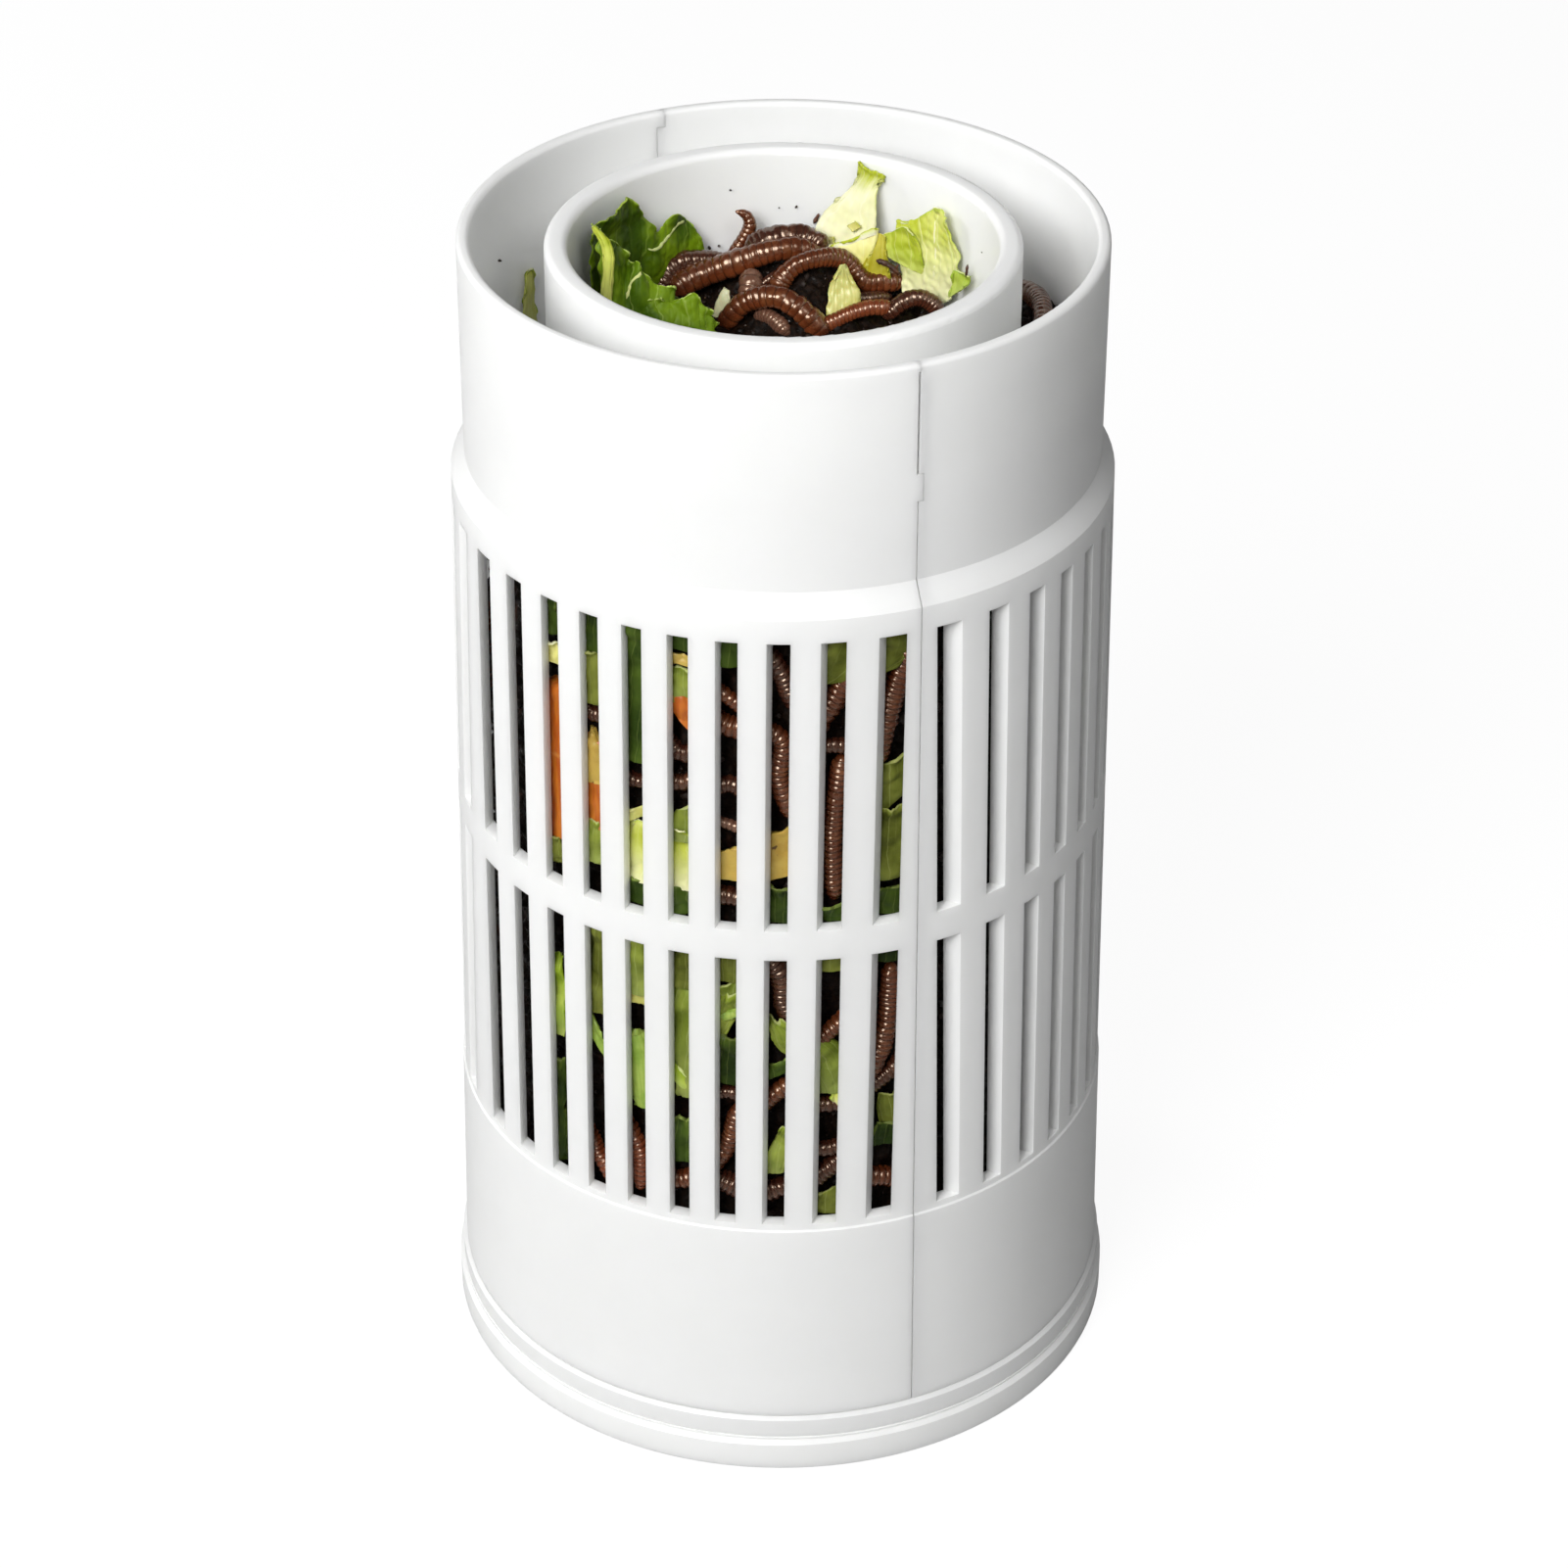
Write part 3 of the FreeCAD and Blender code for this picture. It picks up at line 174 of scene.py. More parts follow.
# Meshes and pieces
def mesh_from(name, points, faces, uv=None):
    """A mesh from points in millimetres, a list of index arrays, one per number of corners, and the
    UV of every corner in the same order."""
    mesh = bpy.data.meshes.new(name)
    corners = np.concatenate([f.ravel() for f in faces]).astype(np.int32)
    totals = np.concatenate([np.full(len(f), f.shape[1]) for f in faces]).astype(np.int32)
    starts = np.concatenate([[0], np.cumsum(totals)[:-1]]).astype(np.int32)
    mesh.vertices.add(len(points))
    mesh.vertices.foreach_set("co", (points * MM).astype(np.float32).ravel())
    mesh.loops.add(len(corners))
    mesh.loops.foreach_set("vertex_index", corners)
    mesh.polygons.add(len(totals))
    mesh.polygons.foreach_set("loop_start", starts)
    mesh.polygons.foreach_set("loop_total", totals)
    mesh.polygons.foreach_set("use_smooth", np.ones(len(totals), bool))
    if uv is not None:
        layer = mesh.uv_layers.new(name="UVMap")
        layer.data.foreach_set("uv", uv.astype(np.float32).ravel())
    mesh.update(calc_edges=True)
    mesh.validate()
    return mesh


def grid_mesh(name, grid, along, across, ring=False, capped=False, flip=False):
    """A mesh over a grid of points, row by row. With ring the last column joins the first, with capped
    each end row closes in a fan, and flip turns the faces over. along and across are the UV values of
    rows and columns."""
    rows, columns = grid.shape[:2]
    r, c = np.meshgrid(np.arange(rows - 1), np.arange(columns if ring else columns - 1), indexing="ij")
    corner_rows = np.stack([r, r, r + 1, r + 1], axis=-1).reshape(-1, 4)
    corner_columns = np.stack([c, c + 1, c + 1, c], axis=-1).reshape(-1, 4)
    points = grid.reshape(-1, 3)
    faces = [corner_rows * columns + corner_columns % columns]
    uv = [np.stack([along[corner_rows], across[corner_columns]], axis=-1).reshape(-1, 2)]
    if capped:
        c = np.arange(columns)
        after = (c + 1) % columns
        last = (rows - 1) * columns
        middles = np.full(columns, rows * columns)
        faces.append(np.concatenate([np.stack([c, middles, after], axis=1),
                                     np.stack([last + after, middles + 1, last + c], axis=1)]))
        half = (across[c] + across[c + 1]) / 2
        for u, fan in ((along[0], (across[c], half, across[c + 1])),
                       (along[-1], (across[c + 1], half, across[c]))):
            uv.append(np.stack([np.stack([u + 0 * v, v], axis=-1) for v in fan], axis=1).reshape(-1, 2))
        points = np.concatenate([points, grid[0].mean(axis=0)[None], grid[-1].mean(axis=0)[None]])
    if flip:
        sizes = [f.shape[1] for f in faces]
        counts = [f.size for f in faces]
        faces = [f[:, ::-1] for f in faces]
        joined = np.concatenate(uv)
        cuts = np.split(joined, np.cumsum(counts)[:-1])
        uv = [part.reshape(-1, size, 2)[:, ::-1].reshape(-1, 2) for part, size in zip(cuts, sizes)]
    return mesh_from(name, points, faces, np.concatenate(uv))


def add_piece(name, mesh, finish, body, nodes=(), thickness=None):
    """Puts a mesh in the scene as a piece that rides on a body and stands for CAD nodes. A thickness in
    millimetres makes a sheet of it, half to each side."""
    piece = bpy.data.objects.new(name, mesh)
    bpy.context.scene.collection.objects.link(piece)
    mesh.materials.append(finish)
    if thickness:
        solidify = piece.modifiers.new("thickness", "SOLIDIFY")
        solidify.thickness = thickness * MM
        solidify.offset = 0.0
    if nodes:
        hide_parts(*nodes)
    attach(piece, body)


# Materials from nodes
class Finish:
    """A material with short ways to add nodes. Numbers and colours that are the same all over go
    straight on the shader's own sockets."""

    def __init__(self, name, **settings):
        self.material = bpy.data.materials.new(name)
        self.material.use_nodes = True
        self.tree = self.material.node_tree
        self.shader = self.tree.nodes["Principled BSDF"]
        for socket, value in settings.items():
            self.shader.inputs[socket.replace("_", " ")].default_value = value

    def add(self, kind, **settings):
        """A new node with its settings."""
        node = self.tree.nodes.new(kind)
        for key, value in settings.items():
            setattr(node, key, value)
        return node

    def put(self, socket, value):
        """Sets a socket to a number, or links it to another socket."""
        if isinstance(value, bpy.types.NodeSocket):
            self.tree.links.new(value, socket)
        else:
            socket.default_value = value

    def object_place(self):
        """The Object coordinates."""
        return self.add("ShaderNodeTexCoord").outputs["Object"]

    def uv_parts(self):
        """U and V of the piece's own UV map."""
        parts = self.add("ShaderNodeSeparateXYZ")
        self.put(parts.inputs[0], self.add("ShaderNodeTexCoord").outputs["UV"])
        return parts.outputs["X"], parts.outputs["Y"]

    def calc(self, operation, a, b=0.0, c=0.0):
        """A calculation on up to three values, such as MULTIPLY or PINGPONG."""
        node = self.add("ShaderNodeMath", operation=operation)
        for socket, value in zip(node.inputs, (a, b, c)):
            self.put(socket, value)
        return node.outputs[0]

    def spread(self, value, low, high, to_low=0.0, to_high=1.0):
        """A value's range from low to high, spread smoothly over the range from to_low to to_high."""
        node = self.add("ShaderNodeMapRange", interpolation_type="SMOOTHSTEP")
        for socket, number in zip(node.inputs, (value, low, high, to_low, to_high)):
            self.put(socket, number)
        return node.outputs[0]

    def noise(self, scale, detail=3.0, roughness=0.55, place=None, distortion=0.0):
        """Cloudy noise over the piece."""
        node = self.add("ShaderNodeTexNoise")
        self.put(node.inputs["Vector"], place or self.object_place())
        node.inputs["Scale"].default_value = scale
        node.inputs["Detail"].default_value = detail
        node.inputs["Roughness"].default_value = roughness
        node.inputs["Distortion"].default_value = distortion
        return node.outputs["Fac"]

    def cells(self, scale, feature="F1"):
        """Distances in a pattern of cells over the piece."""
        node = self.add("ShaderNodeTexVoronoi", feature=feature)
        self.put(node.inputs["Vector"], self.object_place())
        node.inputs["Scale"].default_value = scale
        return node.outputs["Distance"]

    def mix(self, share, first, second):
        """A share of the second colour mixed into the first."""
        node = self.add("ShaderNodeMix", data_type="RGBA")
        self.put(node.inputs[0], share)
        for socket, value in ((node.inputs[6], first), (node.inputs[7], second)):
            self.put(socket, (*value, 1.0) if isinstance(value, tuple) else value)
        return node.outputs[2]

    def colour(self, value):
        """Sets or links the shader's base colour."""
        self.put(self.shader.inputs["Base Color"], value)

    def rough(self, value):
        """Sets or links the shader's roughness."""
        self.put(self.shader.inputs["Roughness"], value)

    def bump(self, height, strength, distance):
        """Adds bumps of a depth in millimetres to those that the shader has."""
        node = self.add("ShaderNodeBump")
        node.inputs["Strength"].default_value = strength
        node.inputs["Distance"].default_value = distance * MM
        self.put(node.inputs["Height"], height)
        last = self.shader.inputs["Normal"]
        if last.is_linked:
            self.tree.links.new(last.links[0].from_socket, node.inputs["Normal"])
        self.put(last, node.outputs[0])


def white_plastic(name, colour, shade, gloss):
    """Satin moulded plastic: a trace of cloudy tone, a fine grain and a little wear in the gloss."""
    f = Finish(name, Specular_IOR_Level=0.45, Subsurface_Weight=0.55, Subsurface_Scale=0.006)
    f.shader.inputs["Subsurface Radius"].default_value = (1.0, 1.0, 0.95)
    f.colour(f.mix(f.spread(f.noise(28.0, 4.0), 0.35, 0.7), colour, shade))
    f.rough(f.spread(f.noise(120.0, 5.0), 0.3, 0.75, gloss, gloss + 0.12))
    f.bump(f.noise(1400.0, 2.0), 0.04, 0.06)
    f.bump(f.noise(60.0, 2.0), 0.03, 0.3)
    return f.material


def damp_compost(name):
    """Damp compost: near-black crumbs with brown ones among them and wet glints."""
    f = Finish(name, Specular_IOR_Level=0.12)
    grain = f.noise(900.0, 6.0, 0.7)
    patchy = f.noise(220.0, 4.0, 0.6)
    brown = f.mix(f.spread(grain, 0.42, 0.7), (0.004, 0.002, 0.001), (0.018, 0.008, 0.004))
    f.colour(f.mix(f.spread(patchy, 0.58, 0.75), brown, (0.036, 0.013, 0.007)))
    f.rough(f.spread(f.noise(500.0, 3.0), 0.4, 0.62, 0.75, 0.32))
    f.bump(grain, 0.7, 0.5)
    return f.material


def crumb_finish(name):
    """Loose crumbs, each with its own tone from the tone attribute."""
    f = Finish(name, Specular_IOR_Level=0.45)
    tone = f.add("ShaderNodeAttribute", attribute_name="tone").outputs["Fac"]
    dark = f.mix(f.spread(tone, 0.1, 0.9), (0.004, 0.002, 0.001), (0.024, 0.010, 0.005))
    f.colour(f.mix(f.spread(tone, 0.96, 1.0), dark, (0.13, 0.07, 0.035)))
    f.rough(f.spread(f.noise(700.0, 2.0), 0.45, 0.6, 0.75, 0.22))
    f.bump(f.noise(1800.0, 3.0), 0.5, 0.3)
    return f.material


def worm_skin(name, back, belly, pale, shine=1.0):
    """Wet ringed skin. U counts the rings and V goes once round from the back: painted shade in the
    grooves between the rings, a redder belly, cloudy paler patches and a wet coat."""
    f = Finish(name, Specular_IOR_Level=shine, Coat_Weight=0.35 * shine, Coat_Roughness=0.12,
               Subsurface_Weight=0.06, Subsurface_Scale=0.002)
    f.shader.inputs["Specular Tint"].default_value = (1.0, 0.72, 0.5, 1.0)
    f.shader.inputs["Subsurface Radius"].default_value = (1.0, 0.35, 0.2)
    ring, turn = f.uv_parts()
    lobe = f.calc("PINGPONG", ring, 0.5)
    round_turn = f.calc("COSINE", f.calc("MULTIPLY", turn, 2 * math.pi))
    under = f.spread(round_turn, 0.35, -0.6)
    base = f.mix(under, back, belly)
    base = f.mix(f.spread(f.noise(260.0, 4.0), 0.5, 0.75, 0.0, 0.55), base, pale)
    # Painted shade: the colour darkens in the grooves between the rings
    painted_groove_shade = f.spread(lobe, 0.0, 0.14, 0.7, 0.0)
    f.colour(f.mix(painted_groove_shade, base, tuple(0.35 * part for part in back)))
    f.rough(f.spread(f.noise(420.0, 3.0), 0.35, 0.7, 0.2, 0.32))
    f.bump(f.noise(1300.0, 3.0, 0.6), 0.05, 0.2)
    return f.material


LEAF_GLOSS = 0.38


def leaf_finish(name, deep, light, rib, edge, net, veins, foot=0.0, tip=0.8, line=0.85):
    """A lettuce leaf. U goes from its foot to its rim and V along the rim: veins that wander and fork
    on their way to the rim, a fine net of veins, a rim in another tone, blistered flesh between, and a
    thin light line along the very rim that is a painted highlight."""
    f = Finish(name, Specular_IOR_Level=0.13, Subsurface_Weight=0.08, Subsurface_Scale=0.0015)
    f.shader.inputs["Subsurface Radius"].default_value = (0.5, 1.0, 0.2)
    u, v = f.uv_parts()
    side = f.calc("ABSOLUTE", f.calc("MULTIPLY_ADD", v, 2.0, -1.0))
    wander = f.calc("MULTIPLY", f.calc("SUBTRACT", f.noise(70.0, 3.0), 0.5), 1.6)
    course = f.calc("PINGPONG", f.calc("ADD", f.calc("MULTIPLY", v, veins), wander), 0.5)
    fork = f.calc("PINGPONG", f.calc("ADD", f.calc("MULTIPLY", v, 2.0 * veins), wander), 0.5)
    side_vein = f.spread(course, 0.0, 0.05, net, 0.0)
    fork_vein = f.calc("MULTIPLY", f.spread(fork, 0.0, 0.07, 0.4 * net, 0.0), f.spread(u, 0.3, 0.7))
    net_vein = f.spread(f.cells(500.0, "DISTANCE_TO_EDGE"), 0.0, 0.06, 0.25 * net, 0.0)
    flesh = f.mix(f.spread(f.noise(90.0, 3.0), 0.38, 0.66), deep, light)
    if foot:
        flesh = f.mix(f.spread(u, 0.05, 0.7, foot, 0.0), flesh, rib)
    rim = f.calc("MAXIMUM", f.spread(side, 0.9, 1.0, 0.0, 0.7), f.spread(u, tip, min(1.0, tip + 0.35)))
    flesh = f.mix(rim, flesh, edge)
    flesh = f.mix(net_vein, flesh, light)
    # Painted highlight: a thin line in the rib's colour along the very rim, as strong as line
    flesh = f.mix(f.spread(u, 0.93, 0.975, 0.0, line), flesh, rib)
    lines = f.calc("MAXIMUM", side_vein, fork_vein)
    f.colour(f.mix(f.calc("MULTIPLY", lines, 0.7), flesh, rib))
    f.rough(f.spread(f.noise(300.0, 2.0), 0.3, 0.7, LEAF_GLOSS, LEAF_GLOSS + 0.18))
    f.bump(lines, 0.3, 0.2)
    f.bump(f.noise(320.0, 2.0), 0.12, 0.35)
    return f.material


def twig_finish():
    """Dark brown bits of twig and husk."""
    f = Finish("twig_bark", Roughness=0.5)
    f.colour(f.mix(f.spread(f.noise(500.0, 3.0), 0.35, 0.7), (0.035, 0.012, 0.006), (0.13, 0.045, 0.02)))
    f.bump(f.noise(900.0, 3.0), 0.4, 0.3)
    return f.material


def carrot_finish():
    """A cut carrot: orange with darker growth lines along it and a wet, finely torn surface."""
    f = Finish("carrot_cut", Specular_IOR_Level=0.5, Subsurface_Weight=0.1, Subsurface_Scale=0.002)
    place = f.add("ShaderNodeMapping")
    f.put(place.inputs["Vector"], f.object_place())
    place.inputs["Scale"].default_value = (1.0, 1.0, 0.12)
    lines = f.noise(700.0, 3.0, 0.6, place.outputs[0])
    base = f.mix(f.spread(lines, 0.35, 0.7), (0.40, 0.082, 0.004), (0.56, 0.165, 0.012))
    f.colour(f.mix(f.spread(f.noise(150.0, 2.0), 0.6, 0.75), base, (0.62, 0.27, 0.06)))
    f.rough(f.spread(lines, 0.3, 0.7, 0.3, 0.5))
    f.bump(lines, 0.35, 0.3)
    return f.material


def peel_finish(name, light, deep, spots):
    """Soft fruit peel: a cloudy yellow with brown bruises and small pits."""
    f = Finish(name, Specular_IOR_Level=0.45, Subsurface_Weight=0.1, Subsurface_Scale=0.002)
    base = f.mix(f.spread(f.noise(140.0, 4.0), 0.35, 0.7), light, deep)
    f.colour(f.mix(f.spread(f.noise(330.0, 3.0, 0.6, distortion=0.6), 0.66, 0.72), base, spots))
    f.rough(0.42)
    f.bump(f.cells(900.0), 0.2, 0.2)
    f.bump(f.noise(200.0, 3.0), 0.25, 0.5)
    return f.material


def stalk_finish(name, light, deep):
    """A leaf's pale stalk: fibres along U over a watery green."""
    f = Finish(name, Specular_IOR_Level=0.5, Subsurface_Weight=0.12, Subsurface_Scale=0.002)
    u, v = f.uv_parts()
    wander = f.calc("MULTIPLY", f.noise(140.0, 2.0), 0.35)
    fibre = f.calc("PINGPONG", f.calc("ADD", f.calc("MULTIPLY", v, 9.0), wander), 0.5)
    base = f.mix(f.spread(f.noise(170.0, 3.0), 0.35, 0.7), light, deep)
    f.colour(f.mix(f.spread(fibre, 0.0, 0.2, 0.5, 0.0), base, deep))
    f.rough(0.33)
    f.bump(fibre, 0.3, 0.3)
    return f.material


# The finishes of this wormery
SHELL_PLASTIC = white_plastic("shell_plastic_satin", (0.89, 0.895, 0.88), (0.87, 0.875, 0.86), 0.38)
TUBE_PLASTIC = white_plastic("tube_plastic_satin", (0.89, 0.895, 0.885), (0.87, 0.875, 0.865), 0.32)
COMPOST = damp_compost("damp_compost")
CRUMBS = crumb_finish("loose_crumbs")
WORM_BROWN = worm_skin("worm_skin_brown", (0.085, 0.019, 0.006), (0.20, 0.048, 0.014), (0.22, 0.075, 0.024))
WORM_DARK = worm_skin("worm_skin_dark", (0.042, 0.011, 0.006), (0.10, 0.027, 0.012), (0.12, 0.042, 0.020))
WORM_RED = worm_skin("worm_skin_red", (0.14, 0.028, 0.009), (0.26, 0.062, 0.020), (0.27, 0.085, 0.032))
WORM_GREY = worm_skin("worm_skin_grey", (0.13, 0.058, 0.036), (0.21, 0.095, 0.060), (0.29, 0.17, 0.12))
WORM_WET = worm_skin("worm_skin_wet", (0.06, 0.014, 0.005), (0.12, 0.03, 0.009), (0.1, 0.028, 0.01), 0.9)
LEAF_DARK = leaf_finish("leaf_dark", (0.036, 0.076, 0.001), (0.15, 0.24, 0.004), (0.38, 0.5, 0.08),
                        (0.19, 0.29, 0.01), net=0.3, veins=4.0, tip=0.88)
LEAF_FERN = leaf_finish("leaf_fern", (0.02, 0.04, 0.003), (0.065, 0.105, 0.012), (0.2, 0.26, 0.06),
                        (0.1, 0.15, 0.015), net=0.5, veins=5.0)
LEAF_GREEN = leaf_finish("leaf_green", (0.045, 0.095, 0.002), (0.16, 0.26, 0.008), (0.48, 0.6, 0.16),
                         (0.25, 0.37, 0.02), net=0.4, veins=4.0, tip=0.85)
LEAF_LIGHT = leaf_finish("leaf_light", (0.45, 0.5, 0.035), (0.66, 0.68, 0.19), (0.84, 0.83, 0.52),
                         (0.31, 0.44, 0.012), net=0.6, veins=5.0, foot=0.9)
LEAF_LIME = leaf_finish("leaf_lime", (0.24, 0.35, 0.015), (0.42, 0.51, 0.07), (0.6, 0.66, 0.28),
                        (0.22, 0.36, 0.01), net=0.5, veins=5.0, foot=0.3)
LEAF_GLOW = leaf_finish("leaf_glow", (0.34, 0.41, 0.015), (0.55, 0.59, 0.09), (0.7, 0.73, 0.3),
                        (0.27, 0.38, 0.01), net=0.5, veins=5.0, foot=0.3)
LEAF_MID = leaf_finish("leaf_mid", (0.13, 0.17, 0.016), (0.27, 0.32, 0.05), (0.42, 0.46, 0.17),
                       (0.22, 0.29, 0.02), net=0.6, veins=5.0, foot=0.3)
LEAF_PALE = leaf_finish("leaf_pale", (0.74, 0.73, 0.38), (0.84, 0.83, 0.57), (0.9, 0.89, 0.74),
                        (0.46, 0.52, 0.03), net=0.4, veins=3.0, foot=0.3, tip=0.55, line=0.0)
LEAF_YELLOW = leaf_finish("leaf_yellow", (0.62, 0.58, 0.14), (0.8, 0.77, 0.36), (0.86, 0.85, 0.55),
                          (0.45, 0.46, 0.06), net=0.3, veins=3.0)
LEAF_GOLD = leaf_finish("leaf_gold", (0.34, 0.3, 0.01), (0.55, 0.49, 0.07), (0.68, 0.62, 0.22),
                        (0.34, 0.32, 0.02), net=0.3, veins=3.0)
LEAF_OLIVE = leaf_finish("leaf_olive", (0.08, 0.092, 0.01), (0.175, 0.195, 0.032), (0.31, 0.33, 0.1),
                         (0.2, 0.23, 0.03), net=0.7, veins=5.0)
# A near-black leaf that paints shade: the inner leaf in the tube and dark scraps behind the slots
LEAF_PAINTED_SHADE = leaf_finish("leaf_painted_shade", (0.012, 0.024, 0.002), (0.04, 0.066, 0.006), (0.13, 0.16, 0.04),
                         (0.08, 0.11, 0.012), net=0.7, veins=6.0)
STALK_PALE = stalk_finish("stalk_pale", (0.64, 0.62, 0.23), (0.47, 0.45, 0.10))
HUSK = stalk_finish("husk_dry", (0.56, 0.55, 0.33), (0.36, 0.36, 0.17))
STALK_GREEN = stalk_finish("stalk_green", (0.36, 0.47, 0.09), (0.20, 0.32, 0.03))
TWIG = twig_finish()
PEEL = peel_finish("peel_yellow", (0.52, 0.36, 0.07), (0.38, 0.23, 0.03), (0.10, 0.045, 0.01))
CARROT = carrot_finish()


def dress_plastic():
    """Gives the moulded parts their plastic."""
    for node in ("shell_front_half", "shell_rear_half", "base_ring", "drain_floor"):
        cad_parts[node].data.materials[0] = SHELL_PLASTIC
    for node in ("feed_tube", "tube_grid"):
        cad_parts[node].data.materials[0] = TUBE_PLASTIC


dress_plastic()


# Bedding
def lumps_over(points, sizes, heights, seed):
    """Lumps from three noises, coarse to fine: the sizes of the first two and the third as it is, each
    times its height."""
    coarse, middle, fine = (waves(points, size, seed + k) for k, size in enumerate(sizes))
    return np.abs(coarse) * heights[0] + np.abs(middle) * heights[1] + fine * heights[2]


def tube_bedding():
    """The bedding in the tube. Rows run down its middle section: over the top from the axis to the
    wall, down the wall and in along the foot. The top is feed_height plus rounded lumps."""
    turn = np.linspace(0, 2 * math.pi, 240, endpoint=False)
    middle, edge = 0.4, TUBE_BORE - FEED_PLAY
    radii = np.linspace(middle, edge, 90)
    radius, angle = np.meshgrid(radii, turn, indexing="ij")
    x, y = radius * np.cos(angle), radius * np.sin(angle)
    flat = np.stack([x, y, 0 * x], axis=-1)
    lumps = lumps_over(flat, (9.0, 4.0, 1.9), (0.7, 0.5, 0.18), 3)
    calm = smooth_step((TUBE_BORE - radius) / 3)
    top = np.stack([x, y, feed_height(x, y) + (lumps - 0.5) * calm], axis=-1)
    spigot_bore, spigot_top = TUBE_BORE - SPIGOT_WALL, FEED_FOOT + SPIGOT_HEIGHT
    side_rows = [np.stack([reach * np.cos(turn), reach * np.sin(turn), height + 0 * turn], axis=-1)
                 for reach, height in ((edge, spigot_top), (spigot_bore, spigot_top),
                                       (spigot_bore, FEED_FOOT), (middle, FEED_FOOT))]
    grid = np.concatenate([top, np.stack(side_rows)])
    mesh = grid_mesh("tube_compost", grid, np.arange(len(grid)), np.arange(len(turn) + 1.0), ring=True,
                     capped=True)
    add_piece("tube_compost", mesh, COMPOST, TUBE, ["tube_bedding"])


def ring_bedding():
    """The bedding behind the slotted wall. Rows go up its outer side, out into the collar, over the
    sloping top and down the inner side, and each is carried round the axis. Lumps push its outer side
    in and out and its top up and down."""
    angle = np.linspace(0, 360, 340, endpoint=False)
    ahead = around_axis(1.0, angle, 0.0)
    low = np.linspace(RING_FOOT, BEDDING_NECK, 165)
    low_radius = cage_bore(low) - BEDDING_SET_BACK
    collar = COLLAR_BORE - COLLAR_PLAY
    top = gap_height(collar * ahead[:, 0], collar * ahead[:, 1])
    rise = np.linspace(0, 1, NECK_ROWS + 1)[1:, None]
    neck = BEDDING_NECK + rise * (top - BEDDING_NECK)[None, :]
    neck_share = np.clip((neck - BEDDING_NECK) / (COLLAR_BASE - BEDDING_NECK), 0, 1)
    neck_radius = low_radius[-1] + neck_share * (collar - low_radius[-1])
    inner = TUBE_RADIUS + TUBE_PLAY
    across = np.linspace(0, 1, TOP_ROWS + 1)[1:, None]
    top_radius = neck_radius[-1] + across * (inner - neck_radius[-1])
    inner_height = np.linspace(0, 1, INNER_ROWS + 1)[1:, None]
    spread = np.ones((1, len(angle)))
    radius = np.concatenate([low_radius[:, None] * spread, neck_radius, top_radius,
                             inner * np.ones((INNER_ROWS, 1)) * spread, low_radius[:1, None] * spread])
    height = np.concatenate([low[:, None] * spread, neck,
                             gap_height(top_radius * ahead[:, 0], top_radius * ahead[:, 1]),
                             0 * inner_height * spread, RING_FOOT * spread])
    inner_top = gap_height(inner * ahead[:, 0], inner * ahead[:, 1])
    top_start = len(low) + NECK_ROWS
    top_end = top_start + TOP_ROWS
    height[top_end:top_end + INNER_ROWS] = inner_top + inner_height * (RING_FOOT - inner_top)
    grid = around_axis(radius, np.broadcast_to(angle, radius.shape), height)
    lumps = lumps_over(grid, (10.0, 4.5, 2.2), (1.1, 0.8, 0.25), 11) - 1.1
    side = np.zeros((len(radius), 1))
    side[:len(low), 0] = smooth_step((low - RING_FOOT) / 12) * smooth_step((BEDDING_NECK - low) / 6)
    upper = np.zeros((len(radius), 1))
    upper[top_start - 1:top_end - 1, 0] = 0.7
    grid = grid + ahead[None] * (lumps * side)[..., None]
    grid[..., 2] += lumps * upper
    mesh = grid_mesh("ring_compost", grid, np.arange(len(grid)), np.arange(len(angle) + 1.0), ring=True,
                     flip=True)
    add_piece("ring_compost", mesh, COMPOST, HOUSING, ["ring_bedding"])


# The twelve corners and twenty faces of an icosahedron, the blank of every crumb
GOLDEN = (1 + math.sqrt(5)) / 2
SIGNS = [(s, t) for s in (-1, 1) for t in (1, -1)]
ICO_POINTS = unit(np.array([(s, GOLDEN * t, 0) for s, t in SIGNS] + [(0, s, GOLDEN * t) for s, t in SIGNS]
                           + [(GOLDEN * t, 0, s) for s, t in SIGNS], float))


def ico_faces():
    """Faces of the icosahedron: every three corners that lie one edge apart, turned to face out."""
    edge = 1.06
    gap = np.linalg.norm(ICO_POINTS[:, None] - ICO_POINTS[None], axis=-1)
    near = (gap < edge) & (gap > 0)
    faces = []
    for i in range(12):
        for j in range(i + 1, 12):
            for k in range(j + 1, 12):
                if near[i, j] and near[j, k] and near[i, k]:
                    a, b, c = ICO_POINTS[[i, j, k]]
                    out = np.dot(np.cross(b - a, c - a), a) > 0
                    faces.append((i, j, k) if out else (i, k, j))
    return np.array(faces)


ICO_FACES = ico_faces()


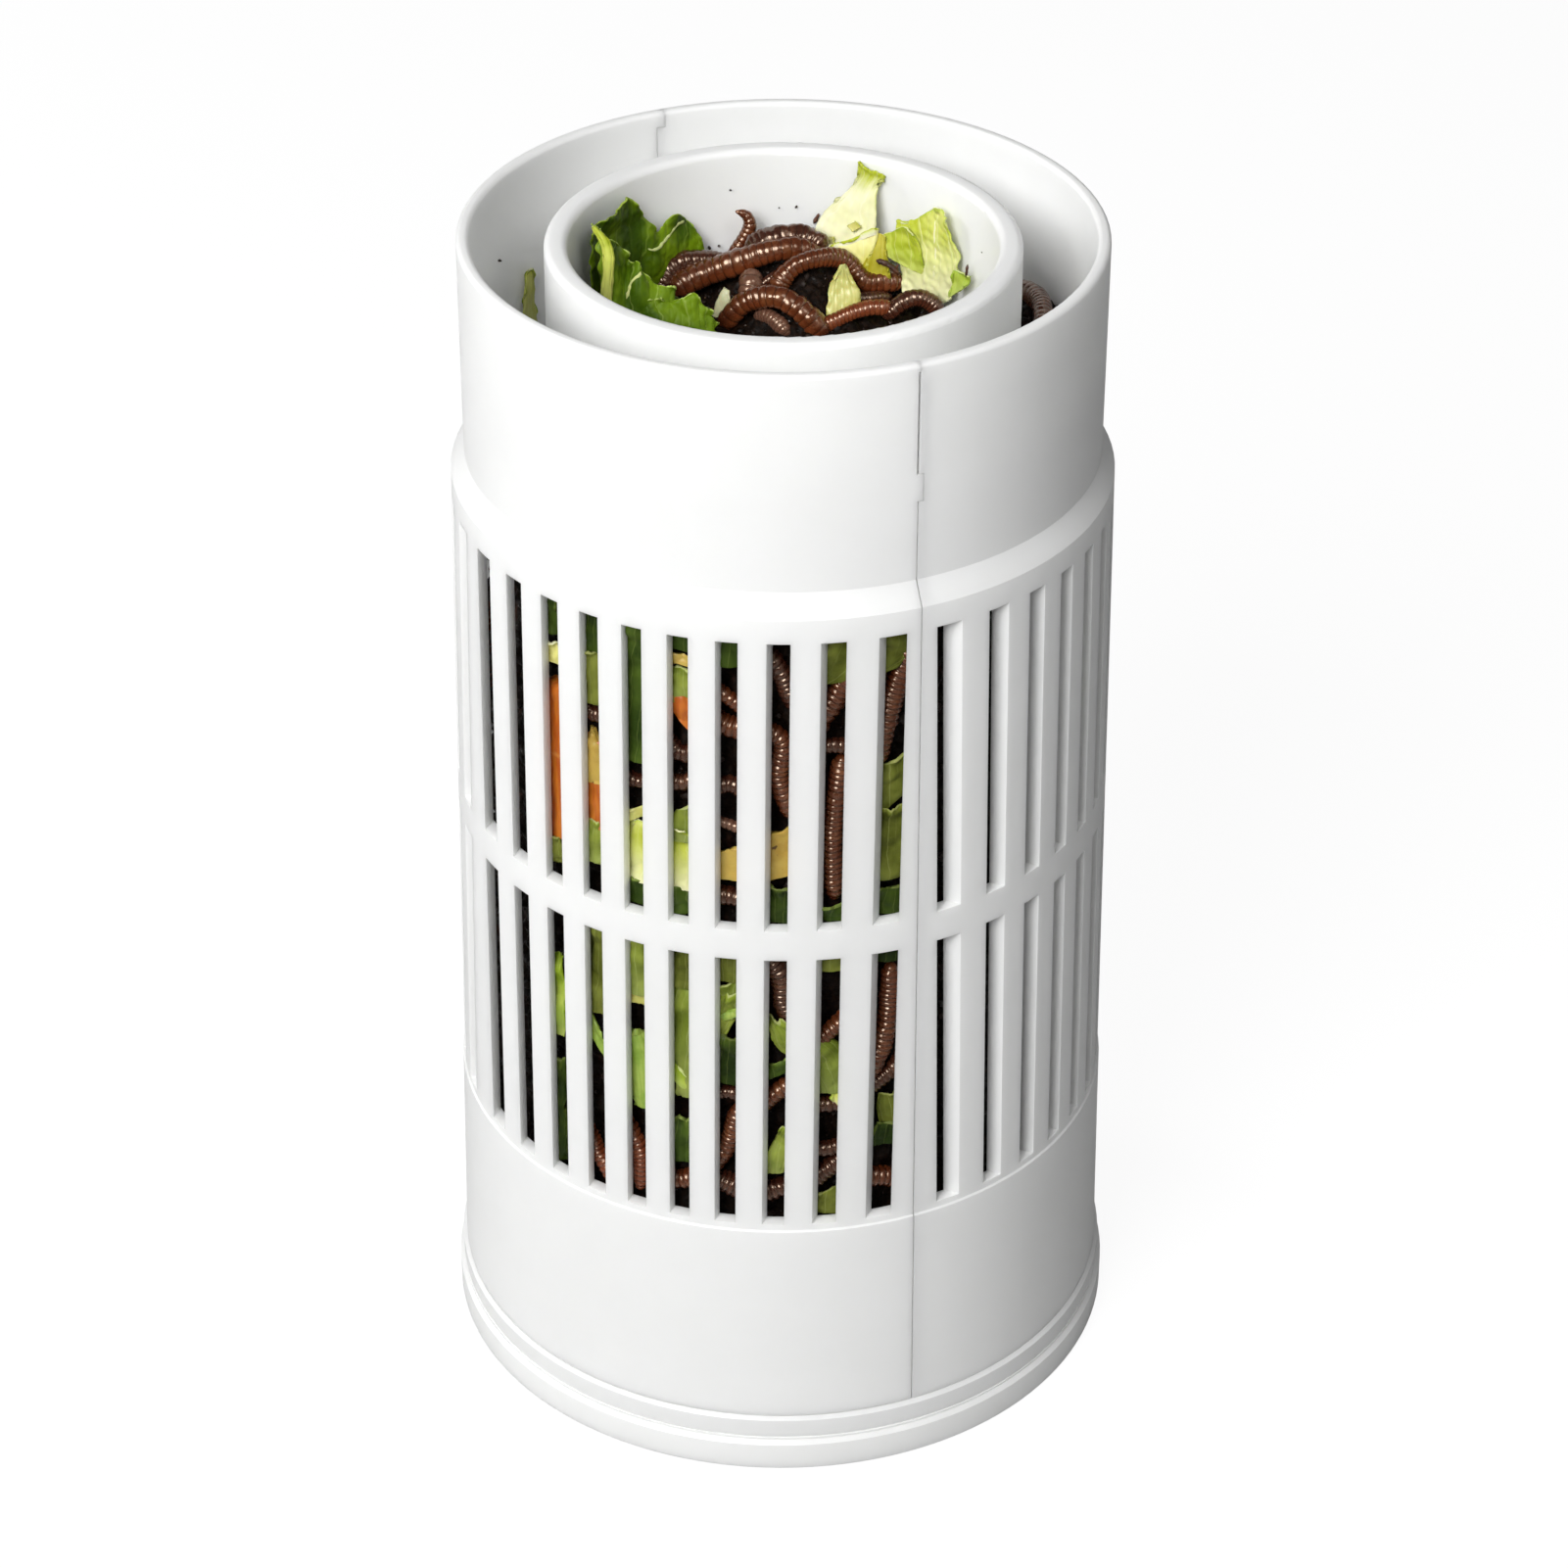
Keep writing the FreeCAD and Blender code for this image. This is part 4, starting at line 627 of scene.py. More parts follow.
def crumbs(name, places, sizes, seed, body):
    """Many small lumps in one mesh: each an icosahedron stretched along its axes, with its corners
    pushed in and out, turned at random and set on its place."""
    rng = np.random.default_rng(seed)
    count = len(places)
    corners = ICO_POINTS[None] * rng.uniform(0.72, 1.2, (count, 12, 1))
    corners = corners * rng.uniform(0.55, 1.25, (count, 1, 3))
    turns, _ = np.linalg.qr(rng.normal(size=(count, 3, 3)))
    turns[np.linalg.det(turns) < 0, :, 0] *= -1
    corners = np.einsum("nij,nkj->nki", turns, corners)
    corners = corners * sizes[:, None, None] + places[:, None]
    faces = (ICO_FACES[None] + 12 * np.arange(count)[:, None, None]).reshape(-1, 3)
    mesh = mesh_from(name, corners.reshape(-1, 3), [faces])
    tone = mesh.attributes.new("tone", "FLOAT", "POINT")
    tone.data.foreach_set("value", np.repeat(rng.uniform(0, 1, count), 12).astype(np.float32))
    add_piece(name, mesh, CRUMBS, body)


LEAST_CRUMB = 0.35


def crumb_sizes(rng, count, spread):
    """Random sizes, most of them small: the least plus spread times the third power of an even draw."""
    return LEAST_CRUMB + spread * rng.uniform(0, 1, count) ** 3


def loose_crumbs():
    """Crumbs strewn on the bedding in the tube, on the bedding's top and behind the slots."""
    rng = np.random.default_rng(21)
    count = 1500
    radius = (TUBE_BORE - 2.2) * np.sqrt(rng.uniform(0, 1, count))
    angle = rng.uniform(0, 2 * math.pi, count)
    x, y = radius * np.cos(angle), radius * np.sin(angle)
    size = crumb_sizes(rng, count, 1.1)
    crumbs("tube_crumbs", np.stack([x, y, feed_height(x, y) + 0.3], axis=1), size, 22, TUBE)

    count = 1100
    radius = rng.uniform(TUBE_RADIUS + 2.0, COLLAR_BORE - 3.0, count)
    size = crumb_sizes(rng, count, 1.0)
    places = around_axis(radius, rng.uniform(0, 360, count), 0.0)
    places[:, 2] = gap_height(places[:, 0], places[:, 1]) + 0.2
    crumbs("top_crumbs", places, size, 23, HOUSING)

    count = 5200
    height = rng.uniform(TIER_FOOT["lower"] - 4, TIER_FOOT["upper"] + SLOT_HEIGHT + 1, count)
    size = crumb_sizes(rng, count, 1.5)
    places = around_axis(cage_bore(height) - BEDDING_SET_BACK + 0.1, rng.uniform(0, 360, count), height)
    crumbs("wall_crumbs", places, size, 24, HOUSING)


tube_bedding()
ring_bedding()
loose_crumbs()


# Worms
WORM_RADIUS = 2.4
WORM_SIDES, STRAND_SIDES = 28, 10
STEPS_PER_RING = 10
WORM_OFF_WALL, WORM_TAPER = 0.6, 7.0


def round_path(path, up, sides):
    """Directions square to a path, in even turns round each of its points: a cosine of its back plus a
    sine of its side, where up leads to the back."""
    tangent = unit(np.gradient(path, axis=0))
    side = unit(np.cross(tangent, up))
    back = np.cross(side, tangent)
    turn = np.linspace(0, 2 * math.pi, sides, endpoint=False)
    return np.cos(turn)[None, :, None] * back[:, None] + np.sin(turn)[None, :, None] * side[:, None]


def worm(name, node, points, radius, finish, body, slot, up, seed, head=5.0, tail=5.0, pitch=1.25,
         wrinkle=1.0, depth=0.08, sharp=0.7):
    """A worm along a path. Its radius swells and thins slowly, rises as a power of a sine over each
    ring and closes at both ends. up is the direction of its back, or a function that gives it for each
    point of the path."""
    length = even_path(points, 200)[1]
    path, length = even_path(points, int(length / pitch * STEPS_PER_RING))
    s = np.linspace(0, length, len(path))
    ring = s / pitch + 0.35 * np.sin(s / 4.7 + seed) + 0.2 * np.sin(s / 2.1 + 2 * seed)
    lobe = np.abs(np.sin(math.pi * ring)) ** sharp
    first = 1 - (1 - np.clip(s / head, 0, 1)) ** 2.4
    last = 1 - (1 - np.clip((length - s) / tail, 0, 1)) ** 2
    profile = radius * np.maximum(np.minimum(first, last), 0) ** 0.62
    profile = profile * (1 + 0.06 * np.sin(s / 6.3 + seed) + 0.035 * np.sin(s / 2.9 + 3 * seed))
    profile = profile * (1 - depth + depth * lobe)
    out = round_path(path, up(path) if callable(up) else np.array(up), WORM_SIDES)
    grid = path[:, None] + profile[:, None, None] * out
    rough = 1 + wrinkle * (0.004 * waves(grid, 1.5, 40 + seed) + 0.028 * waves(grid, 4.5, 50 + seed))
    grid = path[:, None] + (profile[:, None] * rough)[..., None] * out
    mesh = grid_mesh(name, grid, ring, np.linspace(0, 1, WORM_SIDES + 1), ring=True, capped=True)
    add_piece(name, mesh, finish, body, [node] if node else [])


def strand(name, points, radius, finish, body, ends=1.0):
    """A thin stalk or twig along a path, thinner towards both ends, with a slightly knobbly side."""
    path, length = even_path(points, 30)
    s = np.linspace(0, length, len(path))
    profile = radius * np.minimum(1, np.minimum(s, length - s) / ends + 0.25)
    out = round_path(path, np.array([0.3, 0.2, 1.0]), STRAND_SIDES)
    grid = path[:, None] + profile[:, None, None] * out
    grid = grid + out * (waves(grid, 1.6, 7) * 0.15 * radius)[..., None]
    mesh = grid_mesh(name, grid, s, np.linspace(0, 1, STRAND_SIDES + 1), ring=True, capped=True)
    add_piece(name, mesh, finish, body)


def outward(path):
    """The direction away from the axis."""
    return unit(path * np.array([1.0, 1.0, 0.0]))


def wall_worm(name, node, tier, spots, thickness, finish, seed):
    """A worm against the inside of the slotted wall, through spots of angle and level in a tier. It
    runs straight on past its first and its last spot, where it tapers."""
    radius = WORM_RADIUS * thickness
    angle, level = np.array(spots, float).T
    height = TIER_FOOT[tier] + level * SLOT_HEIGHT
    points = around_axis(cage_bore(height) - radius - WORM_OFF_WALL, angle, height)
    taper = WORM_TAPER * thickness
    points = np.concatenate([[points[0] + unit(points[0] - points[1]) * taper], points,
                             [points[-1] + unit(points[-1] - points[-2]) * taper]])
    worm(name, node, points, radius, finish, HOUSING, "worm_skin", outward, seed, pitch=1.5, depth=0.15,
         sharp=0.75)


# Worms against the wall that stand for CAD nodes: node, tier, thickness, finish, and spots of angle
# and level
NODE_WALL_WORMS = [
    ("worm_by_peel", "upper", 1.05, WORM_BROWN, [(-13, 0.7), (-9.4, 0.65), (-3, 0.67), (1.2, 0.62),
     (-1.2, 0.52), (0.4, 0.44)]),
    ("worm_upright", "upper", 1.05, WORM_BROWN, [(10.3, 0.47), (9.5, 0.36), (9.1, 0.26), (9.4, 0.15)]),
    ("worm_hooked", "upper", 1.25, WORM_BROWN, [(22, 0.82), (20.6, 0.76), (19.3, 0.68), (18.2, 0.61)]),
    ("worm_long_lower", "lower", 1.1, WORM_BROWN, [(20.4, 0.8), (20.2, 0.72), (19.2, 0.62), (17.8, 0.56)]),
    ("worm_low_left", "lower", 1, WORM_BROWN, [(-21, 0.08), (-18.5, 0.07), (-14, 0.13), (-9.8, 0.22),
     (-8.6, 0.32)]),
    ("worm_low_middle", "lower", 1.1, WORM_DARK, [(-8, 0.08), (-4, 0.05), (0, 0.09), (5, 0.1),
     (9.4, 0.16)]),
    ("worm_low_right", "lower", 1.05, WORM_BROWN, [(17, 0.1), (20, 0.09), (23.5, 0.06)]),
    ("worm_mid_lower", "lower", 0.95, WORM_BROWN, [(-3, 0.42), (-1, 0.45), (1.6, 0.49), (4, 0.51)]),
    ("worm_left", "upper", 1, WORM_BROWN, [(-88, 0.2), (-82, 0.33), (-87, 0.48), (-81, 0.6)]),
    ("worm_right", "lower", 1, WORM_BROWN, [(84, 0.8), (88.5, 0.65), (84, 0.5), (89, 0.36)]),
    ("worm_rear_upper", "upper", 1, WORM_BROWN, [(150, 0.8), (156, 0.65), (151, 0.48), (157, 0.32)]),
    ("worm_rear_lower", "lower", 1, WORM_BROWN, [(-172, 0.76), (-165, 0.64), (-169, 0.5), (-161, 0.38)]),
]
# Further worms among them: tier, thickness, finish, and spots of angle and level
WALL_WORMS = [
    ("upper", 1.2, WORM_BROWN, [(12, 0.83), (10.4, 0.8), (8.6, 0.73), (6.5, 0.69)]),
    ("upper", 0.75, WORM_DARK, [(6, 0.6), (9.4, 0.61), (13, 0.59)]),
    ("upper", 1.15, WORM_DARK, [(-3.5, 0.93), (0, 0.86), (1.2, 0.78), (4, 0.73)]),
    ("upper", 0.8, WORM_BROWN, [(-12.5, 0.8), (-9.6, 0.77), (-6.5, 0.73)]),
    ("upper", 0.9, WORM_DARK, [(-12, 0.45), (-9, 0.48), (-6, 0.43)]),
    ("upper", 0.6, WORM_GREY, [(-12, 0.34), (-9, 0.33), (-6, 0.31)]),
    ("upper", 0.9, WORM_DARK, [(-13, 0.06), (-9, 0.08), (-5, 0.04)]),
    ("upper", 0.9, WORM_DARK, [(-21.5, 0.6), (-18.5, 0.54), (-15.5, 0.57)]),
    ("upper", 0.8, WORM_DARK, [(-21, 0.46), (-18, 0.44), (-15, 0.49)]),
    ("upper", 0.8, WORM_DARK, [(-30, 0.44), (-27, 0.41), (-24, 0.45)]),
    ("upper", 0.8, WORM_DARK, [(-39, 0.64), (-36.5, 0.6), (-34, 0.62)]),
    ("lower", 0.95, WORM_BROWN, [(6.5, 0.64), (9.6, 0.69), (12.5, 0.73)]),
    ("lower", 0.8, WORM_DARK, [(6, 0.41), (9.4, 0.4), (12.5, 0.42)]),
    ("lower", 0.8, WORM_DARK, [(6, 0.24), (9.4, 0.23), (12.5, 0.26)]),
    ("lower", 1.2, WORM_DARK, [(-1.5, 0.94), (0.5, 0.88), (0, 0.8), (1.5, 0.74)]),
    ("lower", 0.9, WORM_DARK, [(23, 0.55), (21, 0.5), (18.4, 0.47)]),
    ("lower", 0.95, WORM_RED, [(-28.4, 0.2), (-26.6, 0.14), (-26.8, 0.08)]),
    ("lower", 0.9, WORM_RED, [(-37.6, 0.12), (-36, 0.07), (-34.4, 0.04)]),
    ("lower", 0.7, WORM_DARK, [(-12, 0.44), (-9.4, 0.46), (-6.5, 0.43)]),
]


def worms_behind_slots():
    """The worms that show through the slots and, more thinly, those at the sides and the back."""
    for seed, (node, tier, thickness, finish, spots) in enumerate(NODE_WALL_WORMS, start=1):
        wall_worm(node + "_skin", node, tier, spots, thickness, finish, seed)
    for seed, (tier, thickness, finish, spots) in enumerate(WALL_WORMS, start=201):
        wall_worm("worm_among_%d" % seed, None, tier, spots, thickness, finish, seed)


UPWARD = (0.0, 0.0, 1.0)
TOWARDS_FRONT = (0.0, -1.0, 0.15)


def tube_worm(name, node, radius, finish, points, slot="worm_skin", up=UPWARD, **shape):
    """A worm in the tube, of the form that worm gives it."""
    worm(name, node, points, radius, finish, TUBE, slot, up, **shape)


def worms_in_tube():
    """The worms on the bedding in the tube. Those with no node are further ones, of the looks only."""
    tube_worm("worm_fat_skin", "worm_fat", 3.15, WORM_BROWN, [
        (-27, 31.5, 266.5), (-24.3, 32.8, 268.3), (-21, 34, 269.7), (-15.5, 34.5, 271.7),
        (-9.5, 33.7, 274.3), (-4.5, 33.5, 276.4), (0.5, 34.3, 277.2), (5, 35.6, 276.2), (9, 36, 274)
    ], seed=13, head=4.5, tail=4.0, pitch=2.1)
    tube_worm("worm_saddle_skin", None, 2.9, WORM_DARK, [
        (-9, 37, 275), (-4, 37.6, 277.8), (0.5, 38.4, 278.8), (5.1, 38.8, 278.4), (8.4, 38, 276.8),
        (9.6, 37, 274.4)
    ], seed=21, head=4.0, tail=3.5, pitch=1.5, wrinkle=2.0)
    tube_worm("worm_back_skin", "worm_back", 2.75, WORM_DARK, [
        (-30, 31.5, 265.4), (-29.2, 33.4, 268.6), (-27.4, 35.6, 270.9), (-24, 37.4, 272),
        (-20, 38.2, 272.1), (-16, 38.4, 271.6), (-12, 38.4, 271.4)
    ], seed=14, head=4, tail=4, pitch=1.6, wrinkle=1.2)
    tube_worm("worm_bridge_skin", "worm_bridge", 2.45, WORM_BROWN, [
        (-1.6, 25, 268.5), (-1, 26.8, 272.4), (2.3, 28, 275.3), (5.7, 28.8, 276.7), (9.5, 30, 276.9),
        (12.9, 31.8, 276.1), (15.5, 32.6, 274.3), (17.2, 32, 272), (18.6, 31.3, 270.3), (20.6, 31.6, 269.4),
        (23.8, 32.4, 269.4), (27, 33.2, 269.2), (29.5, 33.8, 268)
    ], seed=15, head=4, tail=4, pitch=1.4)
    tube_worm("worm_front_arch_skin", "worm_front_arch", 2.8, WORM_BROWN, [
        (-14.2, 22.8, 261.5), (-13.2, 22, 264.3), (-11.2, 21.8, 267.2), (-8.6, 21.4, 269.6),
        (-4.5, 20.6, 271.2), (-1, 19.9, 271.4), (2.2, 19, 270.1), (5.2, 18, 267.8), (7.9, 17.4, 265),
        (10.4, 17, 262.2)
    ], seed=16, head=4, tail=4, pitch=2.0)
    tube_worm("worm_red_skin", "worm_red", 1.95, WORM_RED, [
        (7.5, 17.2, 263.6), (12.9, 19.2, 266), (17.3, 20.8, 267.4), (22.1, 21.8, 268), (26.2, 22.4, 267.4)
    ], slot="worm_skin_red", seed=17, head=5, tail=3, pitch=1.2)
    tube_worm("worm_dark_end_skin", None, 2.2, WORM_DARK, [
        (23.6, 21.6, 265), (25.9, 22, 267), (28.2, 22.5, 268.9), (30.9, 23, 269.9), (33.6, 23.4, 269.4),
        (36.2, 23, 267.6), (37.6, 22, 265)
    ], seed=22, head=4, tail=4, pitch=1.3, wrinkle=1.2)
    tube_worm("worm_pale_skin", "worm_pale", 1.95, WORM_GREY, [
        (-6.8, 22, 264.6), (-5, 20.9, 266.4), (-2.6, 19, 266.4), (-0.2, 17.2, 265), (1.4, 16, 263)
    ], slot="worm_skin_grey", seed=18, head=3.5, tail=4, pitch=1.1, wrinkle=1.6)
    tube_worm("worm_tail_skin", "worm_tail", 1.75, WORM_BROWN, [
        (-13.8, 40.4, 268.4), (-11.4, 42, 272.6), (-9.2, 43, 275.6), (-7.9, 43.5, 278.2), (-8.1, 44, 280.2),
        (-9.4, 44, 281.6), (-11.6, 43.5, 282.4)
    ], up=TOWARDS_FRONT, seed=19, head=4, tail=8, pitch=1.3)
    tube_worm("worm_sunk_skin", None, 2.9, WORM_GREY, [
        (-7.6, 30.4, 271.6), (-7.6, 28.8, 272), (-7.7, 27, 271), (-8, 25.2, 268.4), (-8.4, 23.8, 264.5)
    ], slot="worm_skin_grey", seed=20, head=2.5, tail=4, pitch=1.5)
    tube_worm("worm_thread_skin", None, 1.2, WORM_DARK, [
        (-6, 27.2, 270), (-3.4, 28, 272), (-1, 29, 273.2), (1.4, 30, 273)
    ], seed=23, head=3, tail=3, pitch=0.9)
    tube_worm("worm_under_skin", None, 1.7, WORM_DARK, [
        (8, 24, 264.8), (12, 26, 266.4), (17, 27.6, 267), (22, 28.4, 266.8), (26, 31, 266)
    ], seed=24, head=4, tail=4, pitch=1.1)


def gap_spot(radius, angle, above):
    """A point over the slope of the bedding in the gap, its hollow left out."""
    place = around_axis(radius, angle, 0.0)
    place[2] = GAP_LEVEL + place[0] * GAP_SLOPE + above
    return place


def worm_in_gap():
    """The worm that arches over the hollow in the gap, through spots of radius, angle and height."""
    spots = [(60, 132, -1.5), (61, 127, 0.5), (63.6, 121, 1.2), (65.4, 117, 1.2), (65.4, 112.5, 1.2),
             (64.4, 108, 1.2), (63, 104.5, 1.0), (62, 100, 0), (61, 96, -2), (60.5, 93, -4)]
    points = np.array([gap_spot(*spot) for spot in spots])
    worm("worm_arched_skin", "worm_arched", points, 2.6, WORM_WET, HOUSING, "worm_skin", UPWARD, seed=25,
         head=4, tail=4, pitch=1.6, wrinkle=0.7, depth=0.05)


worms_behind_slots()
worms_in_tube()
worm_in_gap()


# Leaves, peels and sticks
def panel(net, u, v):
    """A surface of flat facets through a net of points: linear between its rows and its columns."""
    net = np.array(net, float)
    short = 1.001
    a = np.clip(u * (len(net) - 1), 0, len(net) - short)
    b = np.clip(v * (net.shape[1] - 1), 0, net.shape[1] - short)
    i, j = a.astype(int), b.astype(int)
    a, b = (a - i)[..., None], (b - j)[..., None]
    low = net[i, j] * (1 - b) + net[i, j + 1] * b
    high = net[i + 1, j] * (1 - b) + net[i + 1, j + 1] * b
    return low * (1 - a) + high * a


def bites(rim, depth, seed):
    """How far places along a rim are bitten in: the sizes of three noises, from coarse to fine."""
    return depth * (np.abs(waves(rim, 9.0, seed)) + 0.6 * np.abs(waves(rim, 3.0, seed + 1))
                    + 0.4 * np.abs(waves(rim, 1.2, seed + 4)))


def leaf(name, net, finish, body, nodes=(), ruffle=1.0, fold=7.0, ragged=0.06, seed=1, thickness=0.45,
         relief=0.12, rows=70, columns=56, bore=None, frill=0.35, ribs=5, cover=patch):
    """A leaf over a net of points, U from its foot to its rim and V along the rim. The rim is bitten in
    by a ragged noise. The surface is lifted along its normal by soft folds that grow towards the rim,
    by creases all over, by a short frill at the rim, by ribs that run from foot to rim and by fine
    crinkles. A bore holds it in a pipe."""
    u, v = np.meshgrid(np.linspace(0, 1, rows), np.linspace(0, 1, columns), indexing="ij")
    side = np.abs(2 * v - 1)
    side_bite = bites(np.stack([12 * u, 40 * (v > 0.5), 0 * u], axis=-1), ragged, seed + 20)
    v_in = 0.5 + (v - 0.5) * (1 - side_bite * smooth_step(side))
    u_in = u * (1 - bites(np.stack([30 * v, 0 * v, 0 * v], axis=-1), ragged, seed) * smooth_step(u))
    surface = cover(net, u_in, v_in)
    normal = unit(np.cross(np.gradient(surface, axis=0), np.gradient(surface, axis=1)))
    border = np.maximum(side ** 2.5, smooth_step((u - 0.35) / 0.65))
    lift = ruffle * border * waves(surface, fold, seed + 2)
    lift = lift + 0.3 * ruffle * (1 - 2 * np.abs(waves(surface, 1.6 * fold, seed + 5)))
    lift = lift + frill * smooth_step((np.maximum(u, side) - 0.7) / 0.3) * waves(surface, 3.4, seed + 7)
    lift = lift + relief * np.exp(-((v * ribs - np.round(v * ribs)) / 0.1) ** 2)
    lift = lift + relief * 0.5 * waves(surface, 2.4, seed + 3)
    surface = surface + normal * lift[..., None]
    if bore:
        away = np.hypot(surface[..., 0], surface[..., 1])[..., None]
        surface[..., :2] = surface[..., :2] * np.minimum(1, bore / away)
    mesh = grid_mesh(name, surface, u[:, 0], v[0])
    add_piece(name, mesh, finish, body, nodes, thickness)
    return surface


def vein(name, surface, spots, radius, finish):
    """A raised vein in a leaf of the tube. Its path runs over the leaf's surface along a spline through
    spots of U and V."""
    u, v = spline(np.array(spots, float), np.linspace(0, 1, 24)).T
    strand(name, panel(surface, u, v), radius, finish, TUBE, 2.0)


def wall_rows(tier, rows, back=0.8, curl=0.8):
    """A net behind the slotted wall from rows of level, left angle and right angle. Its sides curl
    away from the wall."""
    level, left, right = np.array(rows, float).T
    height = TIER_FOOT[tier] + level * SLOT_HEIGHT
    share = np.linspace(0, 1, 5)[None, :]
    angle = left[:, None] + (right - left)[:, None] * share
    radius = cage_bore(height)[:, None] - back - curl * (2 * share - 1) ** 2
    return around_axis(radius, angle, np.broadcast_to(height[:, None], angle.shape))


def wall_columns(tier, columns, back=0.8, curl=0.8):
    """A net behind the slotted wall from columns of angle, low level and high level."""
    angle, low, high = np.array(columns, float).T
    share = np.linspace(0, 1, 5)[:, None]
    height = TIER_FOOT[tier] + SLOT_HEIGHT * (low + (high - low) * share)
    across = np.linspace(-1, 1, len(angle))
    radius = cage_bore(height) - back - curl * across ** 2
    return around_axis(radius, np.broadcast_to(angle, height.shape), height)


# Leaves behind the slots that stand for CAD nodes: node, tier, finish, slot, and rows of level, left
# and right angle
NODE_LEAVES = [
    ("dark_leaf_upper", "upper", LEAF_FERN, "dark_leaf", [(0.5, -29, -25), (0.62, -29.8, -23.5),
     (0.8, -30.5, -22), (0.93, -28.8, -22), (0.99, -27, -23)]),
    ("pale_leaf_upper", "upper", LEAF_LIGHT, "pale_leaf", [(0.08, -30, -16), (0.14, -30, -15.5),
     (0.26, -29.6, -15), (0.3, -27, -17.5)]),
    ("green_leaf_upper", "upper", LEAF_OLIVE, "dark_leaf", [(0.83, 5.5, 13), (0.87, 5, 24), (0.93, 6, 24.5),
     (1.0, 8, 23)]),
    ("green_leaf_middle", "upper", LEAF_OLIVE, "dark_leaf", [(0.12, 16, 24.5), (0.2, 15.8, 24.7),
     (0.3, 16.2, 24.6), (0.38, 17, 23.6)]),
    ("light_leaf_lower", "lower", LEAF_LIME, "light_leaf", [(0.48, -48, -44), (0.6, -49.5, -43),
     (0.72, -50, -43.3), (0.78, -48.5, -45)]),
    ("green_leaf_lower", "lower", LEAF_OLIVE, "dark_leaf", [(0.64, -38, -34.5), (0.72, -38.6, -33),
     (0.84, -38.4, -32.8), (0.97, -37, -34)]),
    ("grass_blades", "lower", LEAF_MID, "dark_leaf", [(0.42, -18.5, -15.5), (0.55, -20, -14),
     (0.74, -20.6, -8), (0.84, -19.5, -5.5)]),
    ("leaf_tip_lower", "lower", LEAF_MID, "light_leaf", [(0.46, 7, 11), (0.54, 4, 12.8), (0.63, -1, 12.4),
     (0.75, -2.6, 1.5)]),
    ("green_leaf_foot", "lower", LEAF_MID, "dark_leaf", [(0.16, -2, 1), (0.24, -2.8, 2.8), (0.34, 0.5, 3)]),
    ("green_leaf_side", "lower", LEAF_OLIVE, "dark_leaf", [(0.31, 18.5, 24.5), (0.37, 17.5, 24.8),
     (0.43, 18, 22)]),
    ("green_leaf_right", "upper", LEAF_FERN, "dark_leaf", [(0.3, 61, 71), (0.45, 59.5, 73),
     (0.58, 59.5, 73.5), (0.7, 63, 69)]),
    ("dark_leaf_left", "lower", LEAF_FERN, "dark_leaf", [(0.28, -110, -97), (0.42, -111.5, -95),
     (0.56, -111, -95.5), (0.66, -105, -99)]),
    ("green_leaf_rear", "upper", LEAF_LIME, "dark_leaf", [(0.5, -149, -137), (0.64, -150.5, -134.5),
     (0.78, -150, -134), (0.9, -145, -139)]),
]
